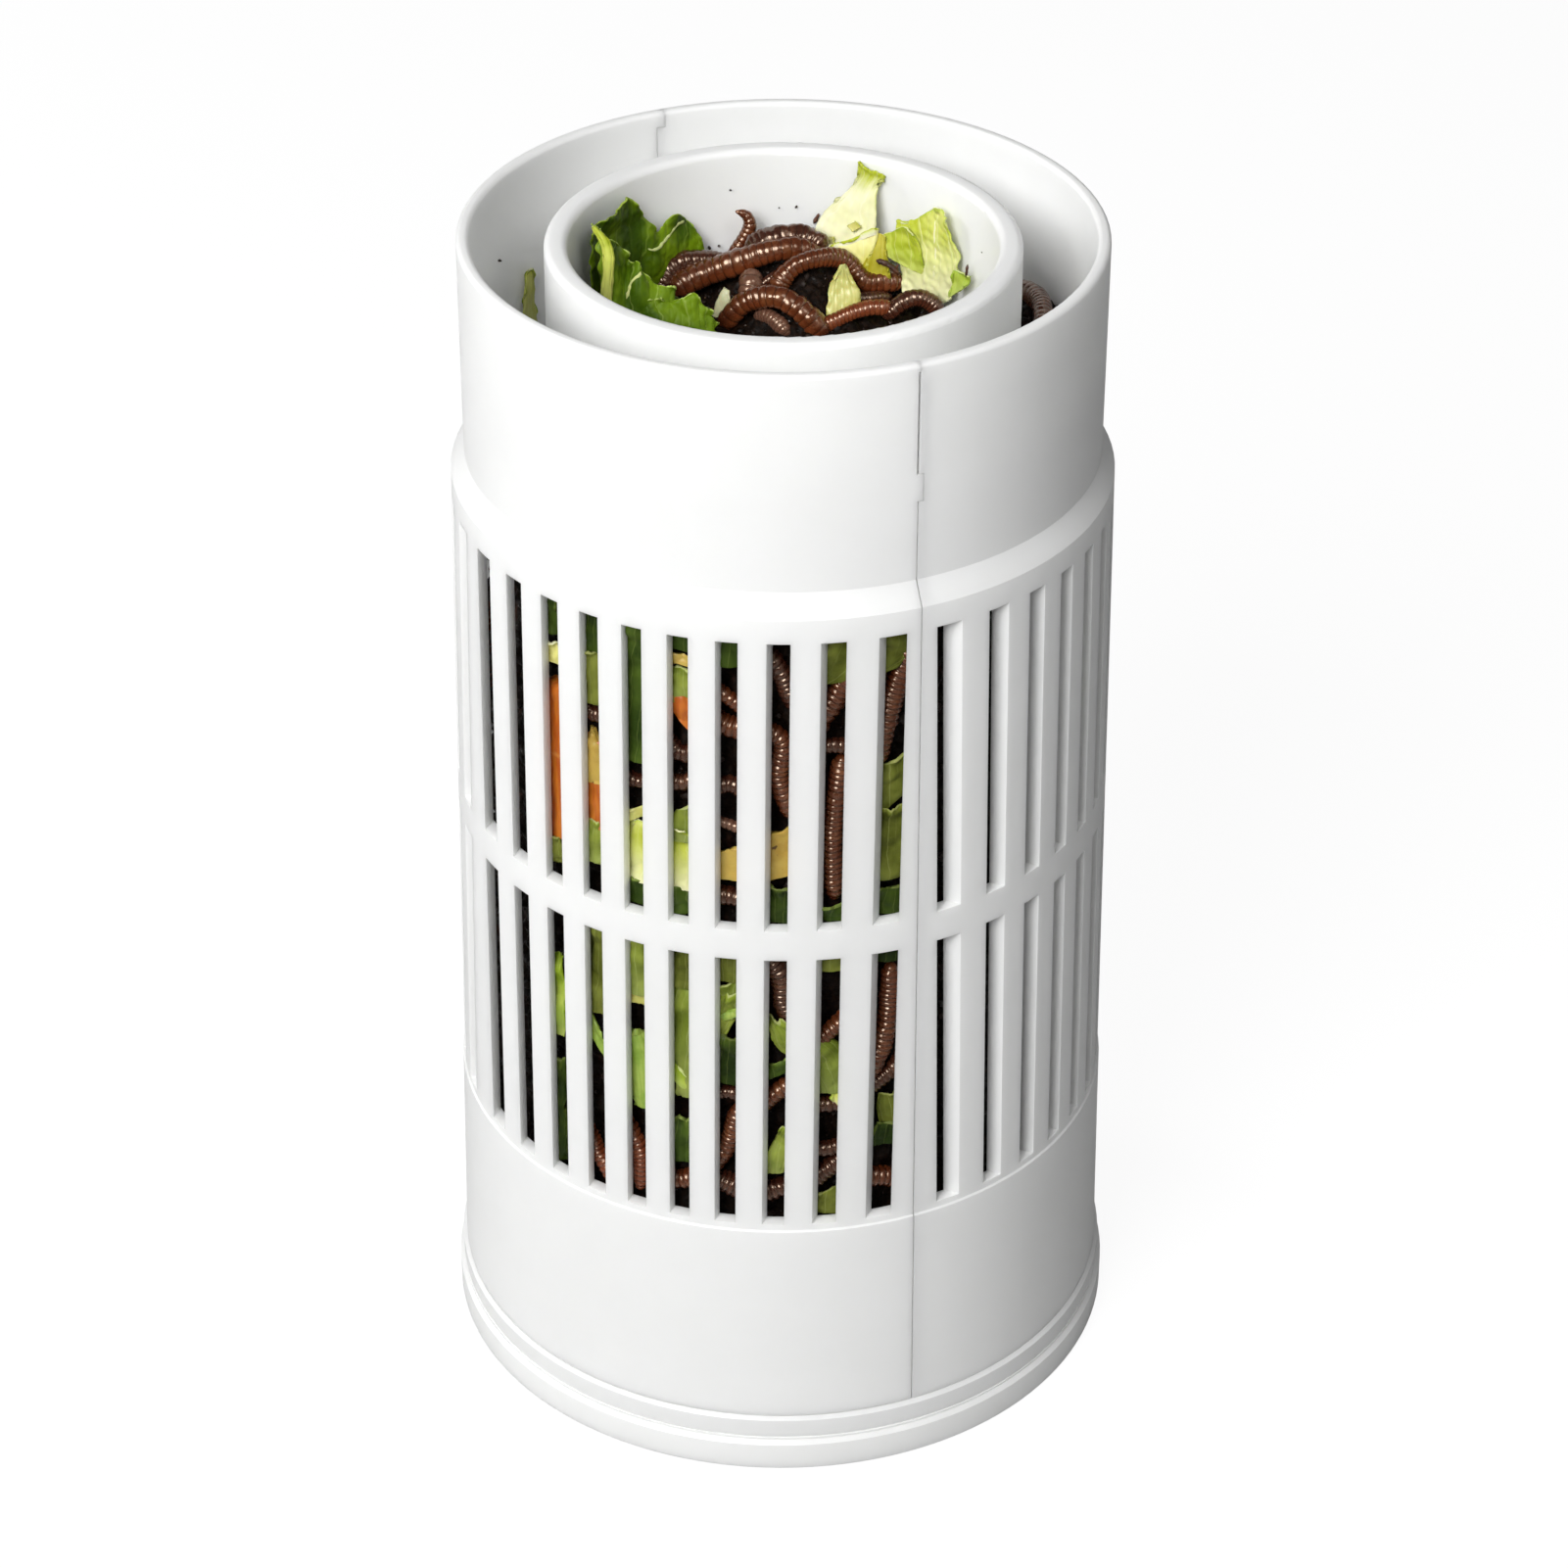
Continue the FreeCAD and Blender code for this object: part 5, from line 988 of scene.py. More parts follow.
# Scraps in the near-black leaf finish are sheets of painted shade behind the slots, many at their tops and
# feet
# Scraps behind the slots of each tier: kind of net, finish, slot, and the net's rows or columns
UPPER_SCRAPS = [
    (wall_columns, CARROT, "carrot", [(-20, 0.73, 0.76), (-18, 0.67, 0.77), (-15.6, 0.64, 0.75)]),
    (wall_columns, PEEL, "peel", [(-21, 0.86, 0.9), (-18.6, 0.88, 0.91), (-15.6, 0.86, 0.89)]),
    (wall_columns, LEAF_MID, "dark_leaf", [(-21, 0.72, 0.84), (-18.6, 0.75, 0.87), (-15.6, 0.76, 0.85)]),
    (wall_columns, LEAF_FERN, "dark_leaf", [(-21, 0.91, 1.0), (-18.6, 0.93, 1.0), (-15.6, 0.91, 1.0)]),
    (wall_columns, LEAF_MID, "dark_leaf", [(-21, 0.24, 0.31), (-18.6, 0.26, 0.37), (-15.6, 0.26, 0.41)]),
    (wall_rows, LEAF_FERN, "dark_leaf", [(0.0, -30, -15.6), (0.04, -30, -15.4), (0.09, -29, -16)]),
    (wall_columns, STALK_PALE, "pale_leaf", [(-30, 0.27, 0.3), (-27, 0.3, 0.34), (-24, 0.33, 0.36)]),
    (wall_rows, PEEL, "peel", [(0.38, -38.4, -33.6), (0.48, -37.4, -33.6), (0.57, -36.4, -35.4)]),
    (wall_rows, LEAF_MID, "pale_leaf", [(0.1, -38.4, -34), (0.17, -38.4, -34), (0.25, -38, -34.4)]),
    (wall_rows, LEAF_OLIVE, "dark_leaf", [(0.66, -38.8, -33.8), (0.75, -38.8, -33.8), (0.84, -38, -34.4)]),
    (wall_rows, LEAF_PAINTED_SHADE, "dark_leaf", [(0.84, -38.8, -33.8), (0.92, -38.8, -33.8), (1.0, -38, -34.4)]),
    (wall_rows, LEAF_YELLOW, "peel", [(0.74, -48.5, -43.8), (0.77, -48.8, -43.6), (0.81, -47.6, -44.6)]),
    (wall_rows, LEAF_PAINTED_SHADE, "dark_leaf", [(0.84, -48.5, -43.8), (0.92, -48.8, -43.6), (1.0, -47.6, -44.6)]),
    (wall_rows, LEAF_OLIVE, "dark_leaf", [(0.03, -48.5, -43.8), (0.07, -48.8, -43.6),
     (0.12, -47.6, -44.6)]),
    (wall_rows, LEAF_PAINTED_SHADE, "dark_leaf", [(0.89, -12.6, -6), (0.93, -12.8, -5.6), (0.98, -11.6, -6.4)]),
    (wall_rows, LEAF_PAINTED_SHADE, "dark_leaf", [(0.0, -3, 3), (0.06, -3.2, 3.4), (0.13, -2, 2.6)]),
    (wall_rows, LEAF_FERN, "dark_leaf", [(0.0, 6.6, 12.6), (0.03, 6.4, 12.8), (0.05, 7, 12)]),
    (wall_columns, LEAF_OLIVE, "dark_leaf", [(16.5, 0.35, 0.49), (19, 0.37, 0.54), (21.6, 0.43, 0.55),
     (24.4, 0.4, 0.58)]),
    (wall_rows, LEAF_PAINTED_SHADE, "dark_leaf", [(0.0, 16.5, 24), (0.04, 16.4, 24.4), (0.09, 17.6, 23)]),
]
LOWER_SCRAPS = [
    (wall_columns, STALK_GREEN, "pale_leaf", [(-38.8, 0.6, 0.68), (-36.4, 0.55, 0.63),
     (-33.6, 0.48, 0.55)]),
    (wall_rows, LEAF_MID, "light_leaf", [(0.77, -30, -24.4), (0.9, -30, -24.4), (0.99, -29, -25)]),
    (wall_columns, STALK_PALE, "pale_leaf", [(-30, 0.72, 0.77), (-27, 0.74, 0.78), (-24, 0.73, 0.77)]),
    (wall_columns, LEAF_OLIVE, "dark_leaf", [(-21, 0.82, 1.0), (-18.4, 0.84, 1.0), (-15.8, 0.82, 1.0)]),
    (wall_columns, LEAF_LIME, "light_leaf", [(-21, 0.5, 0.56), (-18.4, 0.46, 0.53), (-15.8, 0.42, 0.48)]),
    (wall_columns, LEAF_FERN, "dark_leaf", [(-21, 0.14, 0.3), (-18.4, 0.18, 0.36), (-15.8, 0.16, 0.33)]),
    (wall_rows, LEAF_OLIVE, "dark_leaf", [(0.88, -12.6, -6.2), (0.94, -12.8, -6), (1.0, -12, -6.6)]),
    (wall_columns, LEAF_MID, "light_leaf", [(-12.6, 0.79, 0.84), (-9.4, 0.81, 0.88), (-6.2, 0.84, 0.88)]),
    (wall_columns, STALK_GREEN, "pale_leaf", [(-12.6, 0.7, 0.73), (-9.4, 0.74, 0.77), (-6.2, 0.77, 0.79)]),
    (wall_rows, LEAF_PAINTED_SHADE, "dark_leaf", [(0.5, -12.8, -6.4), (0.58, -13, -6), (0.68, -11.4, -6.6)]),
    (wall_columns, LEAF_FERN, "dark_leaf", [(-3, 0.51, 0.56), (0, 0.54, 0.59), (3, 0.57, 0.62)]),
    (wall_rows, LEAF_LIGHT, "light_leaf", [(0.41, 9.8, 12.8), (0.45, 9.2, 12.8), (0.49, 10, 12.6)]),
    (wall_columns, LEAF_OLIVE, "dark_leaf", [(6.4, 0.0, 0.07), (9.6, 0.0, 0.1), (12.8, 0.0, 0.06)]),
    (wall_rows, LEAF_OLIVE, "peel", [(0.92, 6.4, 12.6), (0.96, 6.2, 12.8), (1.0, 7, 12.2)]),
    (wall_rows, LEAF_PAINTED_SHADE, "dark_leaf", [(0.24, 16.6, 24), (0.28, 16.6, 24.4), (0.32, 18, 24)]),
    (wall_rows, LEAF_PAINTED_SHADE, "dark_leaf", [(0.93, 16.6, 24), (0.96, 16.6, 24.4), (1.0, 18, 24)]),
    (wall_rows, LEAF_PAINTED_SHADE, "dark_leaf", [(0.0, -48, -43.6), (0.2, -48, -43.6), (0.4, -47, -44)]),
]


def leaves_behind_slots():
    """The leaves, scraps and peels that show through the slots, and the few at the sides and the back."""
    for seed, (node, tier, finish, slot, lines) in enumerate(NODE_LEAVES, start=60):
        leaf(node + "_blade", wall_rows(tier, lines), finish, HOUSING, [node], ruffle=0.7, fold=8.0,
             seed=seed, rows=46, columns=40)
    scraps = [("upper", *scrap) for scrap in UPPER_SCRAPS] + [("lower", *scrap) for scrap in LOWER_SCRAPS]
    for seed, (tier, net_from, finish, slot, lines) in enumerate(scraps, start=300):
        net = net_from(tier, lines, back=0.5, curl=1.2)
        leaf("scrap_%d" % seed, net, finish, HOUSING, ruffle=0.6, fold=6.0, seed=seed, thickness=0.8,
             rows=34, columns=30)
    front_rind = wall_columns("upper", [(-12.4, 0.14, 0.22), (-9.4, 0.14, 0.25), (-3, 0.14, 0.3),
                                        (2.8, 0.17, 0.35)], back=1.2)
    rear_rind = wall_rows("lower", [(0.48, 161, 176), (0.58, 160, 177), (0.68, 161, 177.5),
                                    (0.72, 163, 176)], back=1.2)
    for node, net, seed in (("yellow_peel_upper", front_rind, 80), ("yellow_peel_rear", rear_rind, 81)):
        leaf(node + "_rind", net, PEEL, HOUSING, [node], ruffle=0.3, fold=12.0, ragged=0.03,
             seed=seed, thickness=1.3, relief=0.1, rows=40, columns=40)
    rib = wall_rows("lower", [(0.34, -27.4, -24.2), (0.45, -29, -24.2), (0.56, -29.3, -24.6),
                              (0.62, -29.3, -26.4)], back=1.4, curl=0.9)
    leaf("pale_stalk_rib", rib, STALK_GREEN, HOUSING, ["pale_stalk"], ruffle=0.2, fold=12.0,
         ragged=0.02, seed=90, thickness=1.6, relief=0.1, rows=50, columns=26)


# Half the width and depth of a cut stick, and the distance of its middle from the wall
STICK_WIDTH, STICK_DEPTH, STICK_SET_BACK = 3.4, 2.2, 3.1


def carrot_stick(name, node, angle, bottom, top, lean, seed):
    """A cut stick: a rounded box carried up a line, its corners at the 6th power of a circle, with
    knife marks along it and ends that close by a root."""
    t = np.linspace(0, 1, 60)
    radius = cage_bore(bottom + (top - bottom) * t) - STICK_SET_BACK
    spine = around_axis(radius, angle + 0 * t, bottom + (top - bottom) * t)
    across = around_axis(1.0, angle + 90.0, 0.0)
    out = around_axis(1.0, angle, 0.0)
    spine = spine + across * (math.tan(math.radians(lean)) * (top - bottom) * t)[:, None]
    turn = np.linspace(0, 2 * math.pi, 48, endpoint=False)
    box = 1 / (np.abs(np.cos(turn)) ** 6 + np.abs(np.sin(turn)) ** 6) ** (1 / 6)
    ends = np.minimum(1, np.minimum(t, 1 - t) * (top - bottom) / 0.8 + 0.55) ** 0.5
    half = np.stack([STICK_WIDTH * np.cos(turn) * box, STICK_DEPTH * np.sin(turn) * box], axis=-1)
    grid = spine[:, None] + ends[:, None, None] * (half[None, :, :1] * across + half[None, :, 1:] * out)
    marks = waves(grid * np.array([1, 1, 0.15]), 1.6, seed) * 0.09 + waves(grid, 5.0, seed + 1) * 0.12
    grid = grid + unit(grid - spine[:, None]) * marks[..., None]
    mesh = grid_mesh(name, grid, t, np.linspace(0, 1, len(turn) + 1), ring=True, capped=True)
    add_piece(name, mesh, CARROT, HOUSING, [node])


def sticks():
    """The carrot sticks behind the upper slots: name, angle, foot's level, length, lean and seed."""
    for name, angle, level, share, lean, seed in (("carrot_stick_long", -46, 0.11, 0.55, 1, 31),
                                                  ("carrot_stick_short", -36.2, 0.21, 0.32, -2, 32),
                                                  ("carrot_stick_rear", 131, 0.2, 0.45, 2, 33)):
        bottom = TIER_FOOT["upper"] + level * SLOT_HEIGHT
        carrot_stick(name + "_cut", name, angle, bottom, bottom + share * SLOT_HEIGHT, lean, seed)


# The bore that holds the leaves in the tube
LEAF_HOLD = TUBE_BORE - 0.5


def dark_lettuce():
    """The dark lettuce at the left: a leaf of lobes at the back, a folded side leaf, a low frill, an
    inner leaf in near-black as painted shade, and a raised rib, with veins on the first two."""
    lobes = leaf("lettuce_dark_lobes", [
        [(-44.5, 10, 274.5), (-43, 14, 273), (-41, 18.5, 273), (-38.5, 22, 274.5), (-36.5, 25, 273.5),
         (-34.5, 27.5, 272), (-32.5, 29, 270.5), (-31, 30, 269.5), (-29, 32, 268.5), (-27, 34, 267.5),
         (-25, 36, 267.5), (-23, 37.5, 267.5), (-21, 38, 268)],
        [(-45.5, 12.5, 284), (-43.5, 16, 283.5), (-41.5, 20.5, 282.5), (-39, 24.5, 281), (-36.5, 28, 279.5),
         (-34.5, 30.5, 277.5), (-32.5, 30.5, 276.5), (-30, 30, 275.5), (-28, 33.5, 274.5),
         (-25.5, 37, 273.5), (-23.5, 39.5, 272.5), (-21.5, 40.5, 271.5), (-20.5, 40, 271)],
        [(-46, 13.5, 287.5), (-44, 17, 287.5), (-41.5, 21, 287), (-39, 25.5, 286), (-37, 30, 286),
         (-34.5, 32, 283.5), (-32, 32.5, 281), (-30, 31.5, 278), (-27.5, 36, 279), (-25.5, 39.5, 278.5),
         (-23, 41, 277), (-21, 41.5, 275), (-19.5, 41, 272.5)],
        [(-46, 14, 290), (-44, 17.5, 291.5), (-41.5, 21.5, 291), (-38.5, 26, 290.5), (-37, 31, 293.5),
         (-34.5, 33, 288.5), (-32, 34.5, 284.5), (-30, 35, 279), (-28, 38.5, 283), (-25.5, 41, 283.5),
         (-22.5, 42, 280.5), (-20.5, 42.5, 278), (-19, 42, 272.5)],
    ], LEAF_DARK, TUBE, ["lettuce_dark_back"], ruffle=0.5, fold=9.0, ragged=0.035, seed=101,
        rows=90, columns=170, bore=LEAF_HOLD, frill=0.25, ribs=11)
    vein("vein_lobe_right", lobes, [(0.8, 0.79), (0.7, 0.7), (0.6, 0.6), (0.5, 0.5)], 0.45, LEAF_LIME)
    fold = leaf("lettuce_dark_fold", [
        [(-43.5, 7, 275.5), (-42, 5.5, 275.5), (-40, 5, 275), (-38, 5, 274), (-36.5, 5.5, 273),
         (-34.5, 4.5, 272.5), (-33, 4.5, 271.5), (-30.5, 4.5, 271), (-28, 5, 271), (-26.5, 5.5, 270.5),
         (-24.5, 6, 270)],
        [(-42, 8, 286.5), (-41, 6.5, 287), (-39.5, 6, 286), (-38, 8, 283), (-37, 9, 279.5), (-35, 6.5, 281),
         (-32.5, 6, 279), (-30.5, 7, 276.5), (-28, 6, 276), (-26, 7, 275), (-25, 7, 274.5)],
        [(-43, 10.5, 290.5), (-41.5, 8.5, 290), (-40, 7, 289.5), (-38, 10.5, 285.5), (-37, 12.5, 280.5),
         (-34.5, 8, 283.5), (-32.5, 7, 281.5), (-30.5, 9, 278), (-28, 7, 277.5), (-26, 8.5, 277),
         (-25, 8, 275.5)],
        [(-44.5, 12.5, 293.5), (-42.5, 11, 292.5), (-41, 9, 291), (-37.5, 12, 289), (-36, 15, 281.5),
         (-34.5, 10, 286), (-32.5, 8, 284), (-30.5, 11, 279), (-28, 8.5, 278.5), (-25, 10, 279),
         (-25.5, 9, 276)],
    ], LEAF_GREEN, TUBE, ["lettuce_dark_side"], ruffle=0.4, fold=7.0, ragged=0.04, seed=109,
        rows=90, columns=160, bore=LEAF_HOLD, frill=0.5, ribs=11)
    vein("vein_fold", fold, [(0.85, 0.55), (0.7, 0.56), (0.5, 0.5), (0.3, 0.42)], 0.45, LEAF_GLOW)
    leaf("lettuce_dark_frill", [
        [(-33, 4, 273), (-30.5, 3.5, 273), (-28, 4, 272), (-25.5, 3.5, 272), (-23.5, 4, 271),
         (-21.5, 3.5, 271), (-19.5, 4, 270.5), (-18.5, 3.5, 270.5), (-17, 4, 270), (-15.5, 4, 269.5)],
        [(-33, 5.5, 274.5), (-30.5, 5, 275.5), (-28, 6, 274.5), (-25.5, 5, 275), (-23.5, 6, 274.5),
         (-21.5, 5, 276), (-20, 6, 275.5), (-19, 5, 274), (-17.5, 5.5, 272), (-16, 5, 270.5)],
        [(-33.5, 6.5, 276), (-31, 6, 277.5), (-28.5, 7.5, 276), (-26, 6, 277), (-23.5, 7.5, 276.5),
         (-21.5, 6, 279), (-20, 7, 278.5), (-19, 6, 276), (-17.5, 6.5, 273.5), (-16, 6, 270.5)],
    ], LEAF_GREEN, TUBE, ruffle=0.6, fold=5.0, ragged=0.05, seed=131, rows=60, columns=120,
        bore=LEAF_HOLD, frill=0.8, ribs=9)
    # Painted shade: an inner leaf in the near-black finish, left of the rib
    leaf("lettuce_dark_inside", [
        [(-43, 11, 262), (-37, 13, 262), (-31, 15, 262), (-25, 17, 262)],
        [(-43.5, 13, 272), (-37.5, 17, 272), (-31, 19, 270), (-24.5, 20.5, 267.5)],
        [(-42.5, 14, 280), (-37, 19, 278), (-30, 21, 273.5), (-23.5, 22, 269)],
    ], LEAF_PAINTED_SHADE, TUBE, ruffle=1.2, fold=8.0, ragged=0.08, seed=111, bore=LEAF_HOLD)
    leaf("lettuce_dark_rib", [
        [(-42.2, 4.4, 276.5), (-41.2, 3.9, 276.5), (-40.2, 4.4, 276.5)],
        [(-41.9, 4.9, 282), (-40.9, 4.2, 282.5), (-39.9, 4.8, 282.5)],
        [(-41.2, 5.8, 286.5), (-40.2, 5.1, 287), (-39.2, 5.8, 287)],
        [(-41.6, 7.3, 290), (-40.6, 6.8, 290.5), (-39.8, 7.4, 290.5)],
        [(-43, 9.3, 292), (-42, 8.6, 292.5), (-41.3, 9.3, 291.5)],
        [(-44.5, 11.5, 293), (-44, 11, 293.5), (-43.5, 11.3, 293)],
    ], LEAF_GLOW, TUBE, ruffle=0.15, fold=6.0, ragged=0.02, seed=112, thickness=0.8, rows=60,
        columns=24, frill=0.12, ribs=3)


def pale_lettuce():
    """The pale lettuce at the back right, with a yellow scrap, a yellow fold and its cream edge, and an
    olive fold beside them."""
    leaf("lettuce_pale_leaf", [
        [(9, 41, 271.5), (12, 40, 272), (16, 39, 272.5), (19.5, 38, 273)],
        [(7.5, 43.5, 276.5), (12, 42, 277.5), (17, 40.5, 278), (21.5, 38.5, 279)],
        [(8.5, 45, 280.5), (13, 43.5, 281), (17.5, 42, 282), (22, 39.5, 283)],
        [(13.5, 45.5, 284.5), (15.5, 44, 285), (18.5, 42.5, 285.5), (22, 41, 286)],
        [(17, 45.5, 288.5), (17.5, 44.5, 288.5), (20, 43.5, 289), (22, 42.5, 289.5)],
        [(18, 45, 291), (19.5, 44.5, 291), (21.5, 43.5, 291.5), (23.5, 42.5, 291.5)],
        [(18, 45, 295), (19.5, 44.5, 293.5), (21.5, 43.5, 293.5), (24, 42.5, 292)],
    ], LEAF_PALE, TUBE, ["lettuce_pale"], ruffle=0.3, fold=9.0, ragged=0.05, seed=113,
        thickness=0.7, rows=90, columns=60, bore=LEAF_HOLD, ribs=4)
    leaf("lettuce_yellow_scrap", [
        [(9, 41, 274.5), (12.5, 40, 275)],
        [(9.5, 41.5, 277), (12, 40.5, 277.5)],
    ], LEAF_YELLOW, TUBE, ruffle=0.1, fold=6.0, ragged=0.05, seed=135, thickness=0.5,
        relief=0.05, rows=16, columns=16, cover=panel)
    leaf("lettuce_yellow_fold", [
        [(15.5, 34, 274.5), (17.5, 33, 273.5), (19.5, 32.5, 272)],
        [(13.5, 36, 276), (17, 34.5, 277), (21, 33, 277)],
        [(11, 37.5, 276), (16.5, 36.5, 278), (22.5, 36, 281.5)],
    ], LEAF_YELLOW, TUBE, ruffle=0.25, fold=6.0, ragged=0.03, seed=114, thickness=0.7,
        rows=46, columns=40, ribs=3)
    leaf("lettuce_cream_edge", [
        [(11, 37, 275.5), (15, 36, 277), (18.5, 35.5, 279), (22, 35, 280.5)],
        [(11.5, 37, 276.5), (15, 36, 278), (18.5, 35.5, 280), (22, 35, 282)],
    ], LEAF_PALE, TUBE, ruffle=0.15, fold=6.0, ragged=0.03, seed=133, thickness=0.7, rows=16,
        columns=46, ribs=3)
    leaf("lettuce_olive_fold", [
        [(18.5, 32, 272), (21.5, 31.5, 270.5), (25.5, 31, 271)],
        [(20, 33, 275.5), (22.5, 32.5, 276), (24.5, 32, 275)],
        [(21.5, 36.5, 280), (23, 36, 280.5), (24, 35.5, 279.5)],
    ], LEAF_GOLD, TUBE, ruffle=0.2, fold=6.0, ragged=0.04, seed=115, thickness=0.6, rows=46,
        columns=36)


def light_lettuce():
    """The light lettuce at the right with its two veins, and the fold at its left side."""
    light = leaf("lettuce_light_leaf", [
        [(28.5, 31, 267.5), (31.5, 30, 266), (35, 28.5, 265), (38, 27, 266), (40, 25.5, 268.5)],
        [(28, 31.5, 271.5), (31.5, 30, 272), (35, 28, 272.5), (38, 26, 273.5), (41, 24, 274.5)],
        [(28, 33, 275.5), (31.5, 31, 276.5), (35, 29, 277.5), (38, 27, 278.5), (41.5, 24, 280)],
        [(27, 35, 279.5), (31, 33, 280.5), (34.5, 31, 281.5), (37, 28, 283), (39.5, 25, 284)],
        [(27, 36, 283.5), (30, 34.5, 284), (34, 32, 285.5), (37, 29, 287), (38.5, 26, 287)],
        [(27, 36, 283.5), (30.5, 34.5, 283.5), (34, 32.5, 287.5), (36.5, 30, 291), (38.5, 27, 288.5)],
    ], LEAF_LIGHT, TUBE, ["lettuce_light"], ruffle=0.3, fold=9.0, ragged=0.025, seed=117,
        rows=90, columns=76, bore=LEAF_HOLD, relief=0.2)
    vein("vein_light_middle", light, [(0.78, 0.59), (0.57, 0.59), (0.35, 0.55), (0.1, 0.52)], 0.28,
         LEAF_YELLOW)
    vein("vein_light_right", light, [(0.86, 0.8), (0.74, 0.79), (0.53, 0.79), (0.31, 0.79)], 0.4, LEAF_GLOW)
    leaf("lettuce_light_fold", [
        [(25, 33, 275.5), (28, 31.5, 274), (30.5, 30.5, 273.5), (33.5, 29.5, 272.5)],
        [(24, 34, 277), (27, 32.5, 276.5), (30, 31, 276), (33.5, 29.5, 275)],
        [(24, 35.5, 278.5), (26.5, 33.5, 279), (29.5, 32, 279), (32.5, 30.5, 278.5)],
        [(23.5, 36.5, 279.5), (26.5, 35, 281.5), (29.5, 33.5, 284), (31, 31.5, 282)],
    ], LEAF_GLOW, TUBE, ruffle=0.35, fold=6.0, ragged=0.03, seed=118, rows=50, columns=50,
        relief=0.2, ribs=3)


def bits_in_tube():
    """Small bits of leaf, husk and twig in the tube, and specks of bedding on its wall and the collar's."""
    leaf("lettuce_green_bit", [
        [(39.5, 21, 271), (41, 20, 272.5), (43, 18.5, 274.5)],
        [(40, 21.5, 274.5), (41.5, 20.5, 275), (44, 18.5, 276)],
        [(40.5, 22, 277.5), (42, 21, 277.5), (44, 18.5, 277.5)],
    ], LEAF_LIME, TUBE, ruffle=0.3, fold=4.0, seed=119, rows=40, columns=34)
    leaf("lettuce_chip", [
        [(10, 21, 266), (13, 21, 265), (15.5, 21.5, 266), (18.5, 22.5, 268)],
        [(10.5, 22.5, 270), (13, 23, 270), (15.5, 23, 270.5), (18, 23.5, 271)],
        [(11.5, 24, 273.5), (13, 24.5, 274), (15, 24.5, 273.5), (16.5, 24.5, 273)],
        [(13.8, 25, 277), (14, 25, 277.5), (14.3, 25, 277.5), (14.5, 25, 277)],
    ], STALK_PALE, TUBE, ["pale_chip"], ruffle=0.15, fold=6.0, ragged=0.02, seed=121,
        thickness=1.0, relief=0.1, rows=30, columns=26, cover=panel)
    leaf("husk_shard", [
        [(-17, 24.5, 264), (-15.5, 24, 263.5), (-14, 23.5, 264.5)],
        [(-16, 25.5, 267.5), (-14.5, 24.5, 267.5), (-12.5, 24, 268.5)],
        [(-14, 26, 271), (-13.5, 25.5, 271), (-13, 25, 270.5)],
    ], HUSK, TUBE, ruffle=0.1, fold=6.0, ragged=0.03, seed=123, thickness=0.5, relief=0.1,
        rows=24, columns=14, cover=panel)
    leaf("lettuce_square_bit", [
        [(16.5, 39.5, 279), (18.5, 39, 280.5)],
        [(15, 40, 280.5), (17, 39.5, 282)],
    ], LEAF_YELLOW, TUBE, ruffle=0.1, fold=6.0, ragged=0.03, seed=124, thickness=0.4,
        relief=0.05, rows=16, columns=16, cover=panel)
    for name, radius, points in (
            ("twig_back", 0.7, [(22, 30.5, 275.7), (24, 30.4, 275.3), (25.8, 30, 274.4),
                                (27.5, 29.6, 272.6)]),
            ("twig_splinter", 0.3, [(26.5, 29.6, 273), (26.8, 29.6, 274), (27.2, 29.6, 275.2)]),
            ("twig_right", 0.35, [(43.2, 18.5, 280.5), (43, 18.6, 279), (42.9, 18.8, 277)]),
            ("twig_wall", 0.45, [(7.2, 48.4, 277), (7.8, 48.4, 278.3), (8.4, 48.3, 279.6)]),
            ("twig_fold", 0.4, [(21.4, 36.6, 280.2), (22.2, 36.4, 279.2), (22.8, 36, 278.4)])):
        strand(name, points, radius, TWIG, TUBE)
    specks = np.array([(-17.9, 45.4, 271.9), (-15.6, 46.4, 271.9), (-12.8, 47.4, 286.1), (3.0, 48.9, 281.1),
                       (-1.1, 49.0, 280.8), (46.3, 15.9, 284.8)])
    crumbs("wall_specks", specks, np.array([0.6, 0.45, 0.3, 0.5, 0.3, 0.25]), 26, TUBE)
    crumbs("collar_speck", np.array([(-67.0, 24.6, 278.2)]), np.array([0.5]), 27, HOUSING)


def blade_in_gap():
    """The leaf blade that stands against the collar at the left: a net from left and right angles, one
    pair for each height over the bedding."""
    sides = np.array([(-122.2, -118.0), (-122.6, -118.2), (-122.8, -118.6), (-122.4, -119.2),
                      (-121.0, -120.2)])
    rise = np.array([[0], [10], [20], [27], [31]])
    radius = COLLAR_BORE - 1.2
    left, right = sides[:, :1], sides[:, 1:]
    angle = left + (right - left) * np.linspace(0, 1, 4)[None, :]
    foot = gap_height(radius * np.sin(np.radians(left)), -radius * np.cos(np.radians(left))) + 0.2
    net = around_axis(radius + 0 * angle, angle, foot + rise + 0 * angle)
    leaf("leaf_blade_green", net, LEAF_LIGHT, HOUSING, ["leaf_blade"], ruffle=0.4, fold=6.0,
         ragged=0.05, seed=125, rows=40, columns=16, bore=COLLAR_BORE - 0.6)


leaves_behind_slots()
sticks()
dark_lettuce()
pale_lettuce()
light_lettuce()
bits_in_tube()
blade_in_gap()


# Studio. The lamps stand round the aim, in metres, and have a name, an angle from the front, a rise over
# the horizon, a power in watts and a width in metres.
FILL, LAMP_AWAY, AIM = 0.078, 1.65, (0, 0, 0.17)
LAMPS = (("key", -27, 38, 28.2, 0.9), ("left", -110, 22, 9.5, 0.55), ("right", 36, 50, 5.0, 0.7))
# The floor: reach and top in millimetres, grey, strength of its glow and the glow's share for the camera
FLOOR_REACH, FLOOR_TOP = 4000.0, -0.6
FLOOR_GREY, FLOOR_GLOW, FLOOR_GLOW_SHARE = 0.43, 1.28, 0.72


